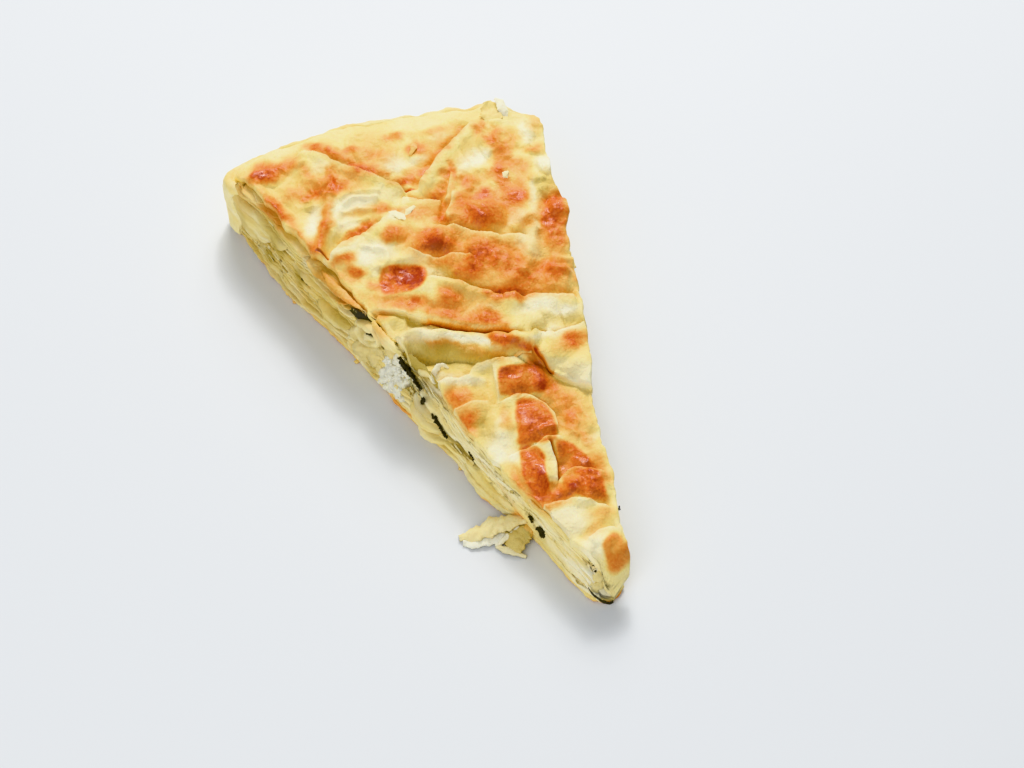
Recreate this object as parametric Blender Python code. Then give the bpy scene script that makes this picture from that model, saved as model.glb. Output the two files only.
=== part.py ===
"""A slice of spinach water borek, cut as a wedge from a round tray.

Boiled sheets of dough lie loosely folded over each other, with a layer of
spinach and white cheese running through them. The top sheet is baked brown,
and its folds, blisters and hollows are relief in the solid.

Lengths are in millimetres until MM turns them into metres. Plan positions are
measured from the slice's tip: x goes across, y goes to the rounded back edge.
The origin of the part is on the surface it rests on, under its middle.
"""

import math

import bmesh
import bpy
import numpy as np
from mathutils import noise

MM = 0.001
TIP_TO_ORIGIN = 120

# Plan of the slice
TIP_LEFT = (-6, 0)
TIP_RIGHT = (4, 1)
TIP_ROUNDING = 2.5
BACK_LEFT = (-68, 239)
BACK_RIGHT = (66, 224)
BACK_BOW = 11
SLICE_LENGTH = 240
BACK_WIDTH = 132
CORNER_PULL = 3.5
CUT_WANDER = 2.2
CUT_WANDER_LENGTH = 38
RIGHT_SWELL = 2.2
RIGHT_SWELL_Y = 140
RIGHT_SWELL_LENGTH = 45

# Height of the crust, before its folds
TIP_HEIGHT = 20.5
BACK_HEIGHT = 31.8
RISE_FROM = 20
RISE_TO = 190
RIM_DROP = 6
RIM_WIDTH = 7
CRUST_ROUGHNESS = 0.5
CRUST_ROUGHNESS_LENGTH = 11

# The filling at stations along the slice: y, height of its middle, thickness
FILLING = (
    (0, 4.6, 2.2),
    (45, 6.6, 3.0),
    (78, 8.2, 3.0),
    (98, 11.0, 6.5),
    (116, 14.4, 12.0),
    (134, 17.2, 8.0),
    (152, 19.0, 4.5),
    (185, 16.0, 3.0),
    (245, 15.0, 3.0),
)
SHEET_GAP = 0.3

# Leaves that show at the cut faces and the back
LEAF_DEPTH = 1.0
LEAF_PITCH = 7.0
LEAF_DRAPE = 3.5
LEAF_DRAPE_LENGTH = 26
BACK_BULGE = 3.0

# How far the lowest leaves spread out of the left cut, at stations along y
FOOT_SPREAD = ((0, 2.0), (28, 2.0), (55, 6.0), (82, 3.5), (120, 2.5), (185, 3.5), (240, 1.0))
FOOT_SPREAD_HEIGHT = 13
RIGHT_FOOT_SHARE = 0.4

# A triangular grid covers the crust; the hidden faces have larger cells
CRUST_CELLS = 72
HIDDEN_CELLS = 12
LIP_SOFTNESS = 3.0

# Lips, where one sheet overlaps the next: how far the upper sheet rises, how
# far the lower one sinks, how far both reach, and the points the lip runs
# through, with the upper sheet on the right-hand side
LIPS = {
    "back left panel": (2.8, 2.6, 9, [(-38, 236), (-28, 228), (-20, 214), (-10, 202), (-2, 197)]),
    "back right panel": (2.6, 2.4, 9, [(1, 197), (14, 206), (25, 214), (34, 224)]),
    "small fold, left side": (1.6, 1.6, 6, [(-7, 193), (1, 188), (8, 184)]),
    "small fold, right side": (1.4, 1.4, 6, [(8, 184), (12, 189), (17, 197)]),
    "under the pillow": (2.1, 2.1, 7, [(-2, 176), (6, 171), (18, 163), (31, 156)]),
    "left diagonal": (2.2, 2.0, 7, [(-46, 172), (-35, 176), (-25, 180), (-16, 184)]),
    "middle diagonal": (2.3, 2.1, 8, [(-14, 151), (-3, 143), (3, 138), (10, 130), (22, 126)]),
    "long crevice": (1.4, 3.4, 7, [(-39, 142), (-27, 136), (-16, 126), (-4, 117.5), (10, 110), (22, 106)]),
    "right flap": (1.4, 1.4, 5, [(20, 106), (29, 105), (39, 106)]),
    "front panel": (2.2, 1.8, 7, [(-29, 106), (-20, 100), (-8, 102), (4, 101), (13, 98)]),
    "below the roll": (1.6, 1.4, 5, [(17, 80), (13, 90), (9, 98)]),
    "second blister": (1.2, 1.0, 5, [(-12, 84), (-4, 82.5), (5, 80)]),
    "front crease": (1.0, 1.2, 4, [(0, 61), (-2, 52), (-5, 42)]),
}

# Rounded ridges: height, half width and the points they run through
RIDGES = {
    "rolled sheet": (3.2, 7.5, [(-37, 132), (-25, 127), (-13, 119), (0, 111), (12, 101), (21, 90), (26, 80)]),
    "strip on the left": (2.0, 3.6, [(-34, 200), (-38, 191), (-45, 182), (-50, 172)]),
    "wrinkle on the left": (1.3, 3.2, [(-37, 227), (-38, 217), (-33, 209), (-34, 200)]),
    "pale fold on the right": (1.6, 3.5, [(46, 177), (40, 168), (34, 162), (27, 160)]),
    "pale fold beside the strip": (1.8, 3.5, [(37, 157), (30, 148), (23, 136)]),
    "left border": (1.4, 4.0, [(-62, 232), (-58, 214), (-53, 194), (-50, 178)]),
}

# Hollows: depth, half width and the points they run through
HOLLOWS = {
    "under the roll": (3.4, 7.0, [(-31, 116), (-22, 115), (-13, 109), (-3, 104)]),
    "beside the left strip": (1.6, 4.5, [(-43, 199), (-47, 187)]),
    "right of the middle": (1.4, 5.0, [(24, 200), (33, 201)]),
    "by the right flap": (1.8, 4.5, [(20, 111), (28, 110)]),
}

# Blisters: place, half sizes, turn in degrees and height
BLISTERS = (
    (-52, 226, 8, 5, -15, 1.7),
    (-41, 228, 7, 4.5, 0, 1.3),
    (-23, 154, 10, 8, -20, 2.0),
    (-5, 165, 10, 7, -20, 2.3),
    (17, 172, 14, 9, -10, 2.6),
    (10, 147, 17, 11, -35, 1.8),
    (2, 91, 12, 8, 0, 1.8),
    (-3, 71, 9, 10, 0, 1.7),
    (-10, 51, 6, 9, 0, 1.4),
    (5, 38, 9, 8, 0, 1.6),
    (2, 9, 5, 8, 0, 1.2),
    (45, 154, 7, 14, -20, 1.4),
    (33, 130, 10, 7, 0, 1.4),
    (-17, 174, 7, 5, 0, 1.2),
    (-21, 87, 7, 9, 0, 1.2),
    (-10, 137, 8, 6, -30, 1.2),
    (42, 205, 7, 10, -30, 1.3),
)

# The torn flap that hangs out of the foot of the left cut, as two tongues:
# root, end, width and thickness
TONGUES = (
    ((-12, 45), (-40, 50.5), 9, 1.6),
    ((-12, 39), (-31, 36.5), 11, 1.6),
)
TONGUE_LIFT = 0.3
TONGUE_WAVE = 0.9

LOWER_COLOUR = (0.72, 0.56, 0.28, 1)
FILLING_COLOUR = (0.30, 0.33, 0.14, 1)
UPPER_COLOUR = (0.80, 0.44, 0.12, 1)


def clear_scene():
    for thing in list(bpy.data.objects):
        bpy.data.objects.remove(thing)


def mix(start, end, share):
    return start + (end - start) * share


def smooth_step(low, high, value):
    share = np.clip((value - low) / (high - low), 0, 1)
    return share * share * (3 - 2 * share)


def ripple(x, y, size, layer=0.0):
    """Even, repeatable unevenness between about -1 and 1, with waves of the given size."""
    places = np.broadcast_arrays(x / size, y / size, layer)
    return np.array([noise.noise(place) for place in zip(*places)])


def smooth_line(points, steps=6):
    """A curve through a few points, as closely spaced places."""
    ends = np.array([points[0], *points, points[-1]], float)
    t = np.linspace(0, 1, steps, endpoint=False)[:, None]
    runs = []
    for a, b, c, d in zip(ends, ends[1:], ends[2:], ends[3:]):
        square = (2 * a - 5 * b + 4 * c - d) * t**2
        cube = (3 * b - a - 3 * c + d) * t**3
        runs.append(0.5 * (2 * b + (c - a) * t + square + cube))
    return np.vstack([*runs, ends[-1:]])


def beside(points, x, y):
    """Distance from a line, positive on its right-hand side, and how strongly it counts there."""
    line = smooth_line(points)
    step = np.diff(line, axis=0)
    offset = np.stack([x, y], axis=-1)[:, None] - line[:-1]
    along = np.clip((offset * step).sum(-1) / (step**2).sum(-1), 0, 1)
    apart = np.linalg.norm(offset - along[..., None] * step, axis=-1)
    rows = np.arange(len(x))
    nearest = apart.argmin(axis=1)
    offset, step_there = offset[rows, nearest], step[nearest]
    side = np.sign(offset[:, 0] * step_there[:, 1] - offset[:, 1] * step_there[:, 0])
    share = (nearest + along[rows, nearest]) / len(step)
    strength = smooth_step(0, 0.12, share) * smooth_step(1, 0.88, share)
    return side * apart[rows, nearest], strength


def lips(x, y):
    height = 0
    for rise, drop, reach, points in LIPS.values():
        distance, strength = beside(points, x, y)
        upper = smooth_step(-LIP_SOFTNESS, LIP_SOFTNESS, distance)
        raised = upper * rise * np.exp(-np.maximum(distance, 0) / reach)
        sunk = (1 - upper) * drop * np.exp(np.minimum(distance, 0) / (0.6 * reach))
        height = height + strength * (raised - sunk)
    return height


def ridges(x, y):
    height = 0
    for rise, half_width, points in RIDGES.values():
        distance, strength = beside(points, x, y)
        height = height + strength * rise * np.exp(-((distance / half_width) ** 2))
    for depth, half_width, points in HOLLOWS.values():
        distance, strength = beside(points, x, y)
        height = height - strength * depth * np.exp(-((distance / half_width) ** 2))
    return height


def blisters(x, y):
    height = 0
    for centre_x, centre_y, half_x, half_y, turn, rise in BLISTERS:
        cos, sin = math.cos(math.radians(turn)), math.sin(math.radians(turn))
        across = ((x - centre_x) * cos + (y - centre_y) * sin) / half_x
        along = ((y - centre_y) * cos - (x - centre_x) * sin) / half_y
        height = height + rise * smooth_step(1.15, 0.35, np.hypot(across, along))
    return height


def crust(x, y, v):
    """Height of the top sheet."""
    slope = mix(TIP_HEIGHT, BACK_HEIGHT, smooth_step(RISE_FROM, RISE_TO, y))
    rim = RIM_DROP * np.exp(-(1 - v) * SLICE_LENGTH / RIM_WIDTH)
    rough = CRUST_ROUGHNESS * ripple(x, y, CRUST_ROUGHNESS_LENGTH)
    return slope - rim + rough + lips(x, y) + ridges(x, y) + blisters(x, y)


def at_stations(y, stations, column=1):
    """A size that changes smoothly from station to station along the slice."""
    value = stations[0][column]
    for near, far in zip(stations, stations[1:]):
        value = value + (far[column] - near[column]) * smooth_step(near[0], far[0], y)
    return value


def under_filling(x, y, v):
    middle = at_stations(y, FILLING)
    return middle - at_stations(y, FILLING, 2) / 2 + 0.6 * ripple(x, y, 40, 3.5)


def over_filling(x, y, v):
    return under_filling(x, y, v) + at_stations(y, FILLING, 2)


def below(surface):
    return lambda x, y, v: surface(x, y, v) - SHEET_GAP


def above(surface):
    return lambda x, y, v: surface(x, y, v) + SHEET_GAP


def floor(x, y, v):
    return np.zeros_like(x)


def plan(u, v):
    """Place in plan at the share u across the slice and v of the way to its back."""
    x = mix(mix(TIP_LEFT[0], BACK_LEFT[0], v), mix(TIP_RIGHT[0], BACK_RIGHT[0], v), u)
    y = mix(mix(TIP_LEFT[1], BACK_LEFT[1], v), mix(TIP_RIGHT[1], BACK_RIGHT[1], v), u)
    y = y + BACK_BOW * 4 * u * (1 - u) * v**2
    y = y + TIP_ROUNDING * (2 * u - 1) ** 2 * np.exp(-v * 50)
    cut_y = v * SLICE_LENGTH
    left = CUT_WANDER * ripple(cut_y, 0 * cut_y, CUT_WANDER_LENGTH, 1.5)
    right = CUT_WANDER * ripple(cut_y, 0 * cut_y, CUT_WANDER_LENGTH, 7.5)
    right = right + RIGHT_SWELL * np.exp(-(((cut_y - RIGHT_SWELL_Y) / RIGHT_SWELL_LENGTH) ** 2))
    corner = CORNER_PULL * np.exp(-(1 - v) * SLICE_LENGTH / 6) * np.abs(2 * u - 1) ** 9
    x = x + mix(left, right, u) - corner * np.sign(u - 0.5)
    return x, y - 0.6 * corner


def outward(u, v):
    """Direction straight out of the side that each rim point belongs to, and zero inside."""
    left = np.array([-0.97, -0.25]) * (u < 1e-4)[:, None]
    right = np.array([0.96, -0.27]) * (u > 1 - 1e-4)[:, None]
    turn = (2 * u - 1) * 0.25
    back = np.stack([np.sin(turn), np.cos(turn)], axis=-1) * (v > 1 - 1e-4)[:, None]
    total = left + right + back
    return total / np.maximum(np.linalg.norm(total, axis=-1), 1e-9)[:, None]


def leaves(u, v, z):
    """How far the leaves stand out of a cut face or the back at height z."""
    run = v * SLICE_LENGTH + (v > 1 - 1e-4) * u * BACK_WIDTH + (u > 0.5) * 500
    drape = LEAF_DRAPE * ripple(run, 0 * run, LEAF_DRAPE_LENGTH)
    layered = LEAF_DEPTH * np.sin(2 * math.pi * (z + drape) / LEAF_PITCH)
    torn = 0.9 * ripple(run, 2.5 * z, 9, 4.5)
    foot = at_stations(v * SLICE_LENGTH, FOOT_SPREAD) * smooth_step(FOOT_SPREAD_HEIGHT, 0, z)
    foot = foot * np.where(u < 0.5, 1, RIGHT_FOOT_SHARE)
    bulge = BACK_BULGE * np.sin(math.pi * np.clip(z / BACK_HEIGHT, 0, 1)) * (v > 1 - 1e-4)
    return layered + torn + foot + bulge


def triangle(cells, rim_cuts=0):
    """A flat triangle from the tip (0, 0) to the back corners (-1, 1) and (1, 1), in equal cells."""
    bm = bmesh.new()
    corners = [bm.verts.new(place) for place in ((0, 0, 0), (1, 1, 0), (-1, 1, 0))]
    bm.faces.new(corners)
    bmesh.ops.subdivide_edges(bm, edges=bm.edges, cuts=cells - 1, use_grid_fill=True)
    if rim_cuts:
        rim = [edge for edge in bm.edges if edge.is_boundary]
        bmesh.ops.subdivide_edges(bm, edges=rim, cuts=rim_cuts)
    bmesh.ops.triangulate(bm, faces=bm.faces)
    return bm


def slab(name, top_cells, levels, bottom, top, material):
    """One closed body between two surfaces, with leaves along its sides in a number of levels."""
    rim_cuts = CRUST_CELLS // HIDDEN_CELLS - 1
    bm = triangle(top_cells, 0 if top_cells == CRUST_CELLS else rim_cuts)
    bmesh.ops.translate(bm, verts=bm.verts, vec=(0, 0, levels))
    ring = [edge for edge in bm.edges if edge.is_boundary]
    for _ in range(levels):
        side = bmesh.ops.extrude_edge_only(bm, edges=ring)["geom"]
        moved = [part for part in side if isinstance(part, bmesh.types.BMVert)]
        ring = [part for part in side if isinstance(part, bmesh.types.BMEdge)]
        ring = [edge for edge in ring if edge.is_boundary]
        bmesh.ops.translate(bm, verts=moved, vec=(0, 0, -1))
    underside = triangle(HIDDEN_CELLS, rim_cuts)
    scrap = bpy.data.meshes.new("underside")
    underside.to_mesh(scrap)
    underside.free()
    bm.from_mesh(scrap)
    bpy.data.meshes.remove(scrap)
    bmesh.ops.remove_doubles(bm, verts=bm.verts, dist=1e-4)
    bmesh.ops.recalc_face_normals(bm, faces=bm.faces)
    place_slab(bm, levels, bottom, top)
    bmesh.ops.triangulate(bm, faces=bm.faces)
    return finish(name, bm, material)


def place_slab(bm, levels, bottom, top):
    unit = np.array([vert.co for vert in bm.verts])
    v = unit[:, 1]
    u = np.where(v > 1e-6, unit[:, 0] / np.maximum(v, 1e-6) / 2 + 0.5, 0.5)
    x, y = plan(u, v)
    z = mix(bottom(x, y, v), top(x, y, v), unit[:, 2] / levels)
    out = outward(u, v) * leaves(u, v, z)[:, None]
    places = np.stack([x + out[:, 0], y + out[:, 1] - TIP_TO_ORIGIN, z], axis=-1) * MM
    for vert, place in zip(bm.verts, places):
        vert.co = place


def tongue(name, root, end, width, thickness):
    """A strip of torn sheet that lies on the surface, as a guide that is joined to the foot."""
    bm = bmesh.new()
    bmesh.ops.create_cube(bm, size=1)
    long_edges = [edge for edge in bm.edges if abs(edge.verts[0].co.x - edge.verts[1].co.x) > 0.5]
    bmesh.ops.subdivide_edges(bm, edges=long_edges, cuts=7, use_grid_fill=True)
    cross_edges = [edge for edge in bm.edges if abs(edge.verts[0].co.y - edge.verts[1].co.y) > 0.5]
    bmesh.ops.subdivide_edges(bm, edges=cross_edges, cuts=3, use_grid_fill=True)
    start, reach = np.array(root), np.array(end) - np.array(root)
    length = np.linalg.norm(reach)
    across = np.array([-reach[1], reach[0]]) / length
    for vert in bm.verts:
        share, side, level = vert.co.x + 0.5, vert.co.y, vert.co.z + 0.5
        narrowing = 1 - 0.55 * share**2
        uneven = 0.12 * math.sin(9 * share + 4 * side)
        place = start + reach * (share - 0.1 * side**2) + across * width * (side + uneven) * narrowing
        crown = TONGUE_WAVE * (1 + math.sin(5 * side + 7 * share)) * narrowing
        z = TONGUE_LIFT + crown * (0.3 + 0.7 * level) + thickness * level
        vert.co = (place[0] * MM, (place[1] - TIP_TO_ORIGIN) * MM, z * MM)
    bmesh.ops.recalc_face_normals(bm, faces=bm.faces)
    bmesh.ops.triangulate(bm, faces=bm.faces)
    guide = finish(name, bm, None)
    guide.hide_render = True
    guide.display_type = "WIRE"
    return guide


def food_material(name, colour, roughness):
    material = bpy.data.materials.new(name)
    material.use_nodes = True
    shader = material.node_tree.nodes["Principled BSDF"]
    shader.inputs["Base Color"].default_value = colour
    shader.inputs["Roughness"].default_value = roughness
    shader.inputs["Metallic"].default_value = 0
    return material


def finish(name, bm, material):
    mesh = bpy.data.meshes.new(name)
    bm.to_mesh(mesh)
    bm.free()
    mesh.shade_smooth()
    mesh.set_sharp_from_angle(angle=math.radians(50))
    thing = bpy.data.objects.new(name, mesh)
    bpy.context.scene.collection.objects.link(thing)
    if material:
        mesh.materials.append(material)
    return thing


def lower_pastry_layers():
    material = food_material("soft baked dough", LOWER_COLOUR, 0.55)
    layers = slab("lower_pastry_layers", HIDDEN_CELLS, 3, floor, below(under_filling), material)
    for number, shape in enumerate(TONGUES, start=1):
        join = layers.modifiers.new(f"torn tongue {number}", "BOOLEAN")
        join.operation = "UNION"
        join.object = tongue(f"torn_tongue_{number}", *shape)
    return layers


def spinach_cheese_filling():
    material = food_material("spinach and cheese", FILLING_COLOUR, 0.6)
    return slab("spinach_cheese_filling", HIDDEN_CELLS, 2, under_filling, over_filling, material)


def upper_pastry_layers():
    material = food_material("browned crust", UPPER_COLOUR, 0.4)
    return slab("upper_pastry_layers", CRUST_CELLS, 5, above(over_filling), crust, material)


clear_scene()
lower_pastry_layers()
spinach_cheese_filling()
upper_pastry_layers()
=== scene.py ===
# %% [markdown]
# # A slice of spinach water borek
# Water borek is a pie of boiled dough sheets, folded loosely over each other in a round tray
# and baked. This slice is a wedge of it, with white cheese and spinach between the sheets.
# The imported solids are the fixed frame, and every piece here is built around them.

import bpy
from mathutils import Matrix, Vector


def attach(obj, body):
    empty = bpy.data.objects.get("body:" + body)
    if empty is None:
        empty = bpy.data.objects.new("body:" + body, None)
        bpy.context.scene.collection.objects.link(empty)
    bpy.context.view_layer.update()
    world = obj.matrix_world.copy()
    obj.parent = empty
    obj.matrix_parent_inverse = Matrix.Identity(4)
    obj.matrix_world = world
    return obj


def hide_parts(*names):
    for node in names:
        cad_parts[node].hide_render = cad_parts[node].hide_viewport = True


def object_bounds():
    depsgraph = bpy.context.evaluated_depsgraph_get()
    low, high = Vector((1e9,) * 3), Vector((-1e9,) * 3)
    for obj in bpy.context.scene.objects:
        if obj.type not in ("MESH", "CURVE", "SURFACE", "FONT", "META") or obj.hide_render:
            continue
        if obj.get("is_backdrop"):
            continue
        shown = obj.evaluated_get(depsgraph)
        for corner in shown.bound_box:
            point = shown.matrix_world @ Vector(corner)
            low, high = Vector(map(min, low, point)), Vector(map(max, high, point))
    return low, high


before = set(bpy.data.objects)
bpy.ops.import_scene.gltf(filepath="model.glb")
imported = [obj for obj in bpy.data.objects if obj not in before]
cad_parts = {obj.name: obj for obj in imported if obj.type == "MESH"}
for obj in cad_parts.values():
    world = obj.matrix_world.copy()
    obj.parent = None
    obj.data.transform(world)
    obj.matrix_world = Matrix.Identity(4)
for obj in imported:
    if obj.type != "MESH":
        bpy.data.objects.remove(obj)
solid_low, solid_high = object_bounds()
print("solids from", solid_low, "to", solid_high)

# %% [markdown]
# Lengths are worked out in millimetres, as a baker would measure them, and turned into metres
# where a vertex is placed. Plan positions are measured from the tip of the slice: x goes
# across and y to the rounded back edge. The part's own origin is 120 mm behind the tip.

# %% Tools and units
import math

import bmesh
import bpy
import numpy as np
from mathutils import Vector, noise

MM = 0.001
TIP_TO_ORIGIN = 120
draws = np.random.default_rng(7)

# %% [markdown]
# The camera comes first, so that each piece can be judged from where the photograph was
# taken: from the front left, about 50 degrees up, with a long lens.

# %% Camera
camera = bpy.data.objects.new("camera", bpy.data.cameras.new("camera"))
camera.data.sensor_width = 36
camera.data.lens = 69.4
camera.location = (-0.190, -0.466, 0.595)
camera.rotation_euler = Vector((0.2529, 0.5872, -0.7688)).to_track_quat("-Z", "Y").to_euler()
bpy.context.scene.collection.objects.link(camera)
bpy.context.scene.camera = camera

# %% [markdown]
# Soft food has no straight line in it. Small helpers give repeatable unevenness, smooth steps,
# curves through a few points, and sizes that change from station to station along the slice.


# %% Helpers for soft shapes
def mix(start, end, share):
    return start + (end - start) * share


def smooth_step(low, high, value):
    share = np.clip((value - low) / (high - low), 0, 1)
    return share * share * (3 - 2 * share)


def bump(distance, half_width):
    """A rounded bump: 1 in its middle or on its line, and nearly gone at twice its half width."""
    return np.exp(-((distance / half_width) ** 2))


def ripple(x, y, size, layer=0.0):
    """Even, repeatable unevenness between about -1 and 1, with waves of the given size."""
    places = np.broadcast_arrays(x / size, y / size, layer)
    flat = zip(*(np.ravel(place) for place in places))
    return np.array([noise.noise(place) for place in flat]).reshape(places[0].shape)


def smooth_line(points, steps=6):
    """A curve through a few points, as closely spaced places."""
    ends = np.array([points[0], *points, points[-1]], float)
    t = np.linspace(0, 1, steps, endpoint=False)[:, None]
    runs = []
    for a, b, c, d in zip(ends, ends[1:], ends[2:], ends[3:]):
        square = (2 * a - 5 * b + 4 * c - d) * t**2
        cube = (3 * b - a - 3 * c + d) * t**3
        runs.append(0.5 * (2 * b + (c - a) * t + square + cube))
    return np.vstack([*runs, ends[-1:]])


def at_stations(y, stations, column=1):
    """A size that changes smoothly from station to station along the slice."""
    value = stations[0][column]
    for near, far in zip(stations, stations[1:]):
        value = value + (far[column] - near[column]) * smooth_step(near[0], far[0], y)
    return value


# %% [markdown]
# ## The outline
# The slice was cut from a round tray: two nearly straight cuts that wander a little, a blunt
# tip, and a bowed back. One function turns a share across and a share along into a place.

# %% Outline
TIP_LEFT, TIP_RIGHT = (-6, 0), (4, 1)
BACK_LEFT, BACK_RIGHT = (-68, 239), (66, 224)
SLICE_LENGTH = 240
BACK_WIDTH = 132
BACK_BOW = 11
TIP_ROUNDING = 2.5
CORNER_PULL = 3.5
CUT_WANDER, CUT_WANDER_LENGTH = 2.2, 38
RIGHT_SWELL, RIGHT_SWELL_Y, RIGHT_SWELL_LENGTH = 2.2, 140, 45


def plan(u, v):
    """Place in plan at the share u across the slice and v of the way to its back."""
    x = mix(mix(TIP_LEFT[0], BACK_LEFT[0], v), mix(TIP_RIGHT[0], BACK_RIGHT[0], v), u)
    y = mix(mix(TIP_LEFT[1], BACK_LEFT[1], v), mix(TIP_RIGHT[1], BACK_RIGHT[1], v), u)
    y = y + BACK_BOW * 4 * u * (1 - u) * v**2
    y = y + TIP_ROUNDING * (2 * u - 1) ** 2 * np.exp(-v * 50)
    cut_y = v * SLICE_LENGTH
    left = CUT_WANDER * ripple(cut_y, 0 * cut_y, CUT_WANDER_LENGTH, 1.5)
    right = CUT_WANDER * ripple(cut_y, 0 * cut_y, CUT_WANDER_LENGTH, 7.5)
    right = right + RIGHT_SWELL * bump(cut_y - RIGHT_SWELL_Y, RIGHT_SWELL_LENGTH)
    corner = CORNER_PULL * np.exp(-(1 - v) * SLICE_LENGTH / 6) * np.abs(2 * u - 1) ** 9
    return x + mix(left, right, u) - corner * np.sign(u - 0.5), y - 0.6 * corner


# %% [markdown]
# The layers show all round the slice, so the outline is also wanted as one walk: down the left
# cut from the back corner, round the tip, up the right cut and along the back. A place on the
# side is then given by how far along the walk it is from the tip, how high, and how far out.

# %% A walk round the outline
WALK_STEP = 0.6
CORNER_ROUNDING = 12
NORMAL_ROUNDING = 40


def evened(values, times):
    for _ in range(times):
        values = (np.roll(values, 1) + values + np.roll(values, -1)) / 3
    return values


along = np.linspace(0, 1, 600)
across = np.linspace(0, 1, 300)[1:-1]
blunt = np.linspace(0, 1, 20)[1:-1]
walk_u = np.concatenate([0 * along, blunt, 1 + 0 * along, across[::-1]])
walk_v = np.concatenate([along[::-1], 0 * blunt, along, 1 + 0 * across])
corners = np.stack([*plan(walk_u, walk_v), walk_v])
corners = np.hstack([corners, corners[:, :1]])
gone = np.append(0, np.cumsum(np.hypot(*np.diff(corners[:2], axis=1))))
round_length = gone[-1]
walk_at = np.linspace(0, round_length, int(round_length / WALK_STEP), endpoint=False)
walk_x, walk_y, walk_v = (evened(np.interp(walk_at, gone, row), CORNER_ROUNDING) for row in corners)
walk_r = walk_at - walk_at[walk_y.argmin()]
step_x = np.roll(walk_x, -1) - np.roll(walk_x, 1)
step_y = np.roll(walk_y, -1) - np.roll(walk_y, 1)
step_long = np.hypot(step_x, step_y)
walk_nx = evened(step_y / step_long, NORMAL_ROUNDING)
walk_ny = evened(-step_x / step_long, NORMAL_ROUNDING)
left_back = -walk_at[walk_y.argmin()]
right_back = walk_r[walk_x.argmax()]
print(f"once round is {round_length:.0f} mm; back corners at {left_back:.0f} and {right_back:.0f}")


def at_walk(values, r):
    return np.interp(r, walk_r, values, period=round_length)


def left(y):
    """How far along the walk the left cut has this y."""
    part = (walk_r < 0) & (walk_r > left_back + 3)
    return np.interp(y, walk_y[part][::-1], walk_r[part][::-1])


def right(y):
    part = (walk_r > 0) & (walk_r < right_back - 3)
    return np.interp(y, walk_y[part], walk_r[part])


# %% [markdown]
# The lowest sheets have slid out of the left cut a little, most of all near the tip, and the
# back bulges where the pie leaned on the tray. Both are added to every place on the side.

# %% Places on the side
# How far the lowest sheets have slid out of the left cut, by y
FOOT_SPREAD = (
    (0, 0.8), (14, 1.8), (28, 2.0), (55, 2.2), (70, 1.6),
    (84, 0.6), (98, 2.0), (115, 3.2), (185, 3.5), (240, 1.0),
)
FOOT_SPREAD_HEIGHT = 13
RIGHT_FOOT_SHARE = 0.4
BACK_BULGE = 2.4
SIDE_HEIGHT = 30
# How far past the left back corner the walk's numbers still run on
BEHIND = 40


def on_side(r, z, out):
    """Plan place of a point that lies r along the walk, z high and out from the side."""
    r = (r - left_back + BEHIND) % round_length + left_back - BEHIND
    y = at_walk(walk_y, r)
    behind = smooth_step(right_back - 4, right_back + 4, r) + smooth_step(left_back + 4, left_back - 4, r)
    foot = at_stations(y, FOOT_SPREAD) * smooth_step(FOOT_SPREAD_HEIGHT, 0, z)
    foot = foot * np.where(r < 0, 1, RIGHT_FOOT_SHARE) * (1 - behind)
    bulge = BACK_BULGE * np.sin(math.pi * np.clip(z / SIDE_HEIGHT, 0, 1)) * behind
    out = out + foot + bulge
    return at_walk(walk_x, r) + out * at_walk(walk_nx, r), y + out * at_walk(walk_ny, r)


# %% [markdown]
# ## The top sheet
# The top sheet was laid in loose folds and baked. It could be sculpted by hand, but then no
# fold could be changed without touching its neighbours. So its height is worked out instead: a
# gentle slope, plus lips, where one fold overlaps the next, ridges, hollows and blisters. Places
# are given as the camera sees them on the slope. What stands up looks further off than it is,
# so a line is moved nearer by its own height before it is used.

# %% Slope
# How far off a point 1 mm above the slope seems to lie, seen from the camera
SEEN_SHIFT = np.array([0.33, 0.76])
TIP_HEIGHT, BACK_HEIGHT = 20.5, 31.8
NOSE_DROP, NOSE_LENGTH = 17.5, 5.2
RISE_FROM, RISE_TO = 20, 190
RIM_DROP, RIM_WIDTH = 6, 7
ROUGH_RIM_WIDTH = 14

# %% [markdown]
# A lip is the edge of a fold that lies over the next one. Each is a short entry with a plain
# name, so that a fold can be found in the photograph and changed by itself.

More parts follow.
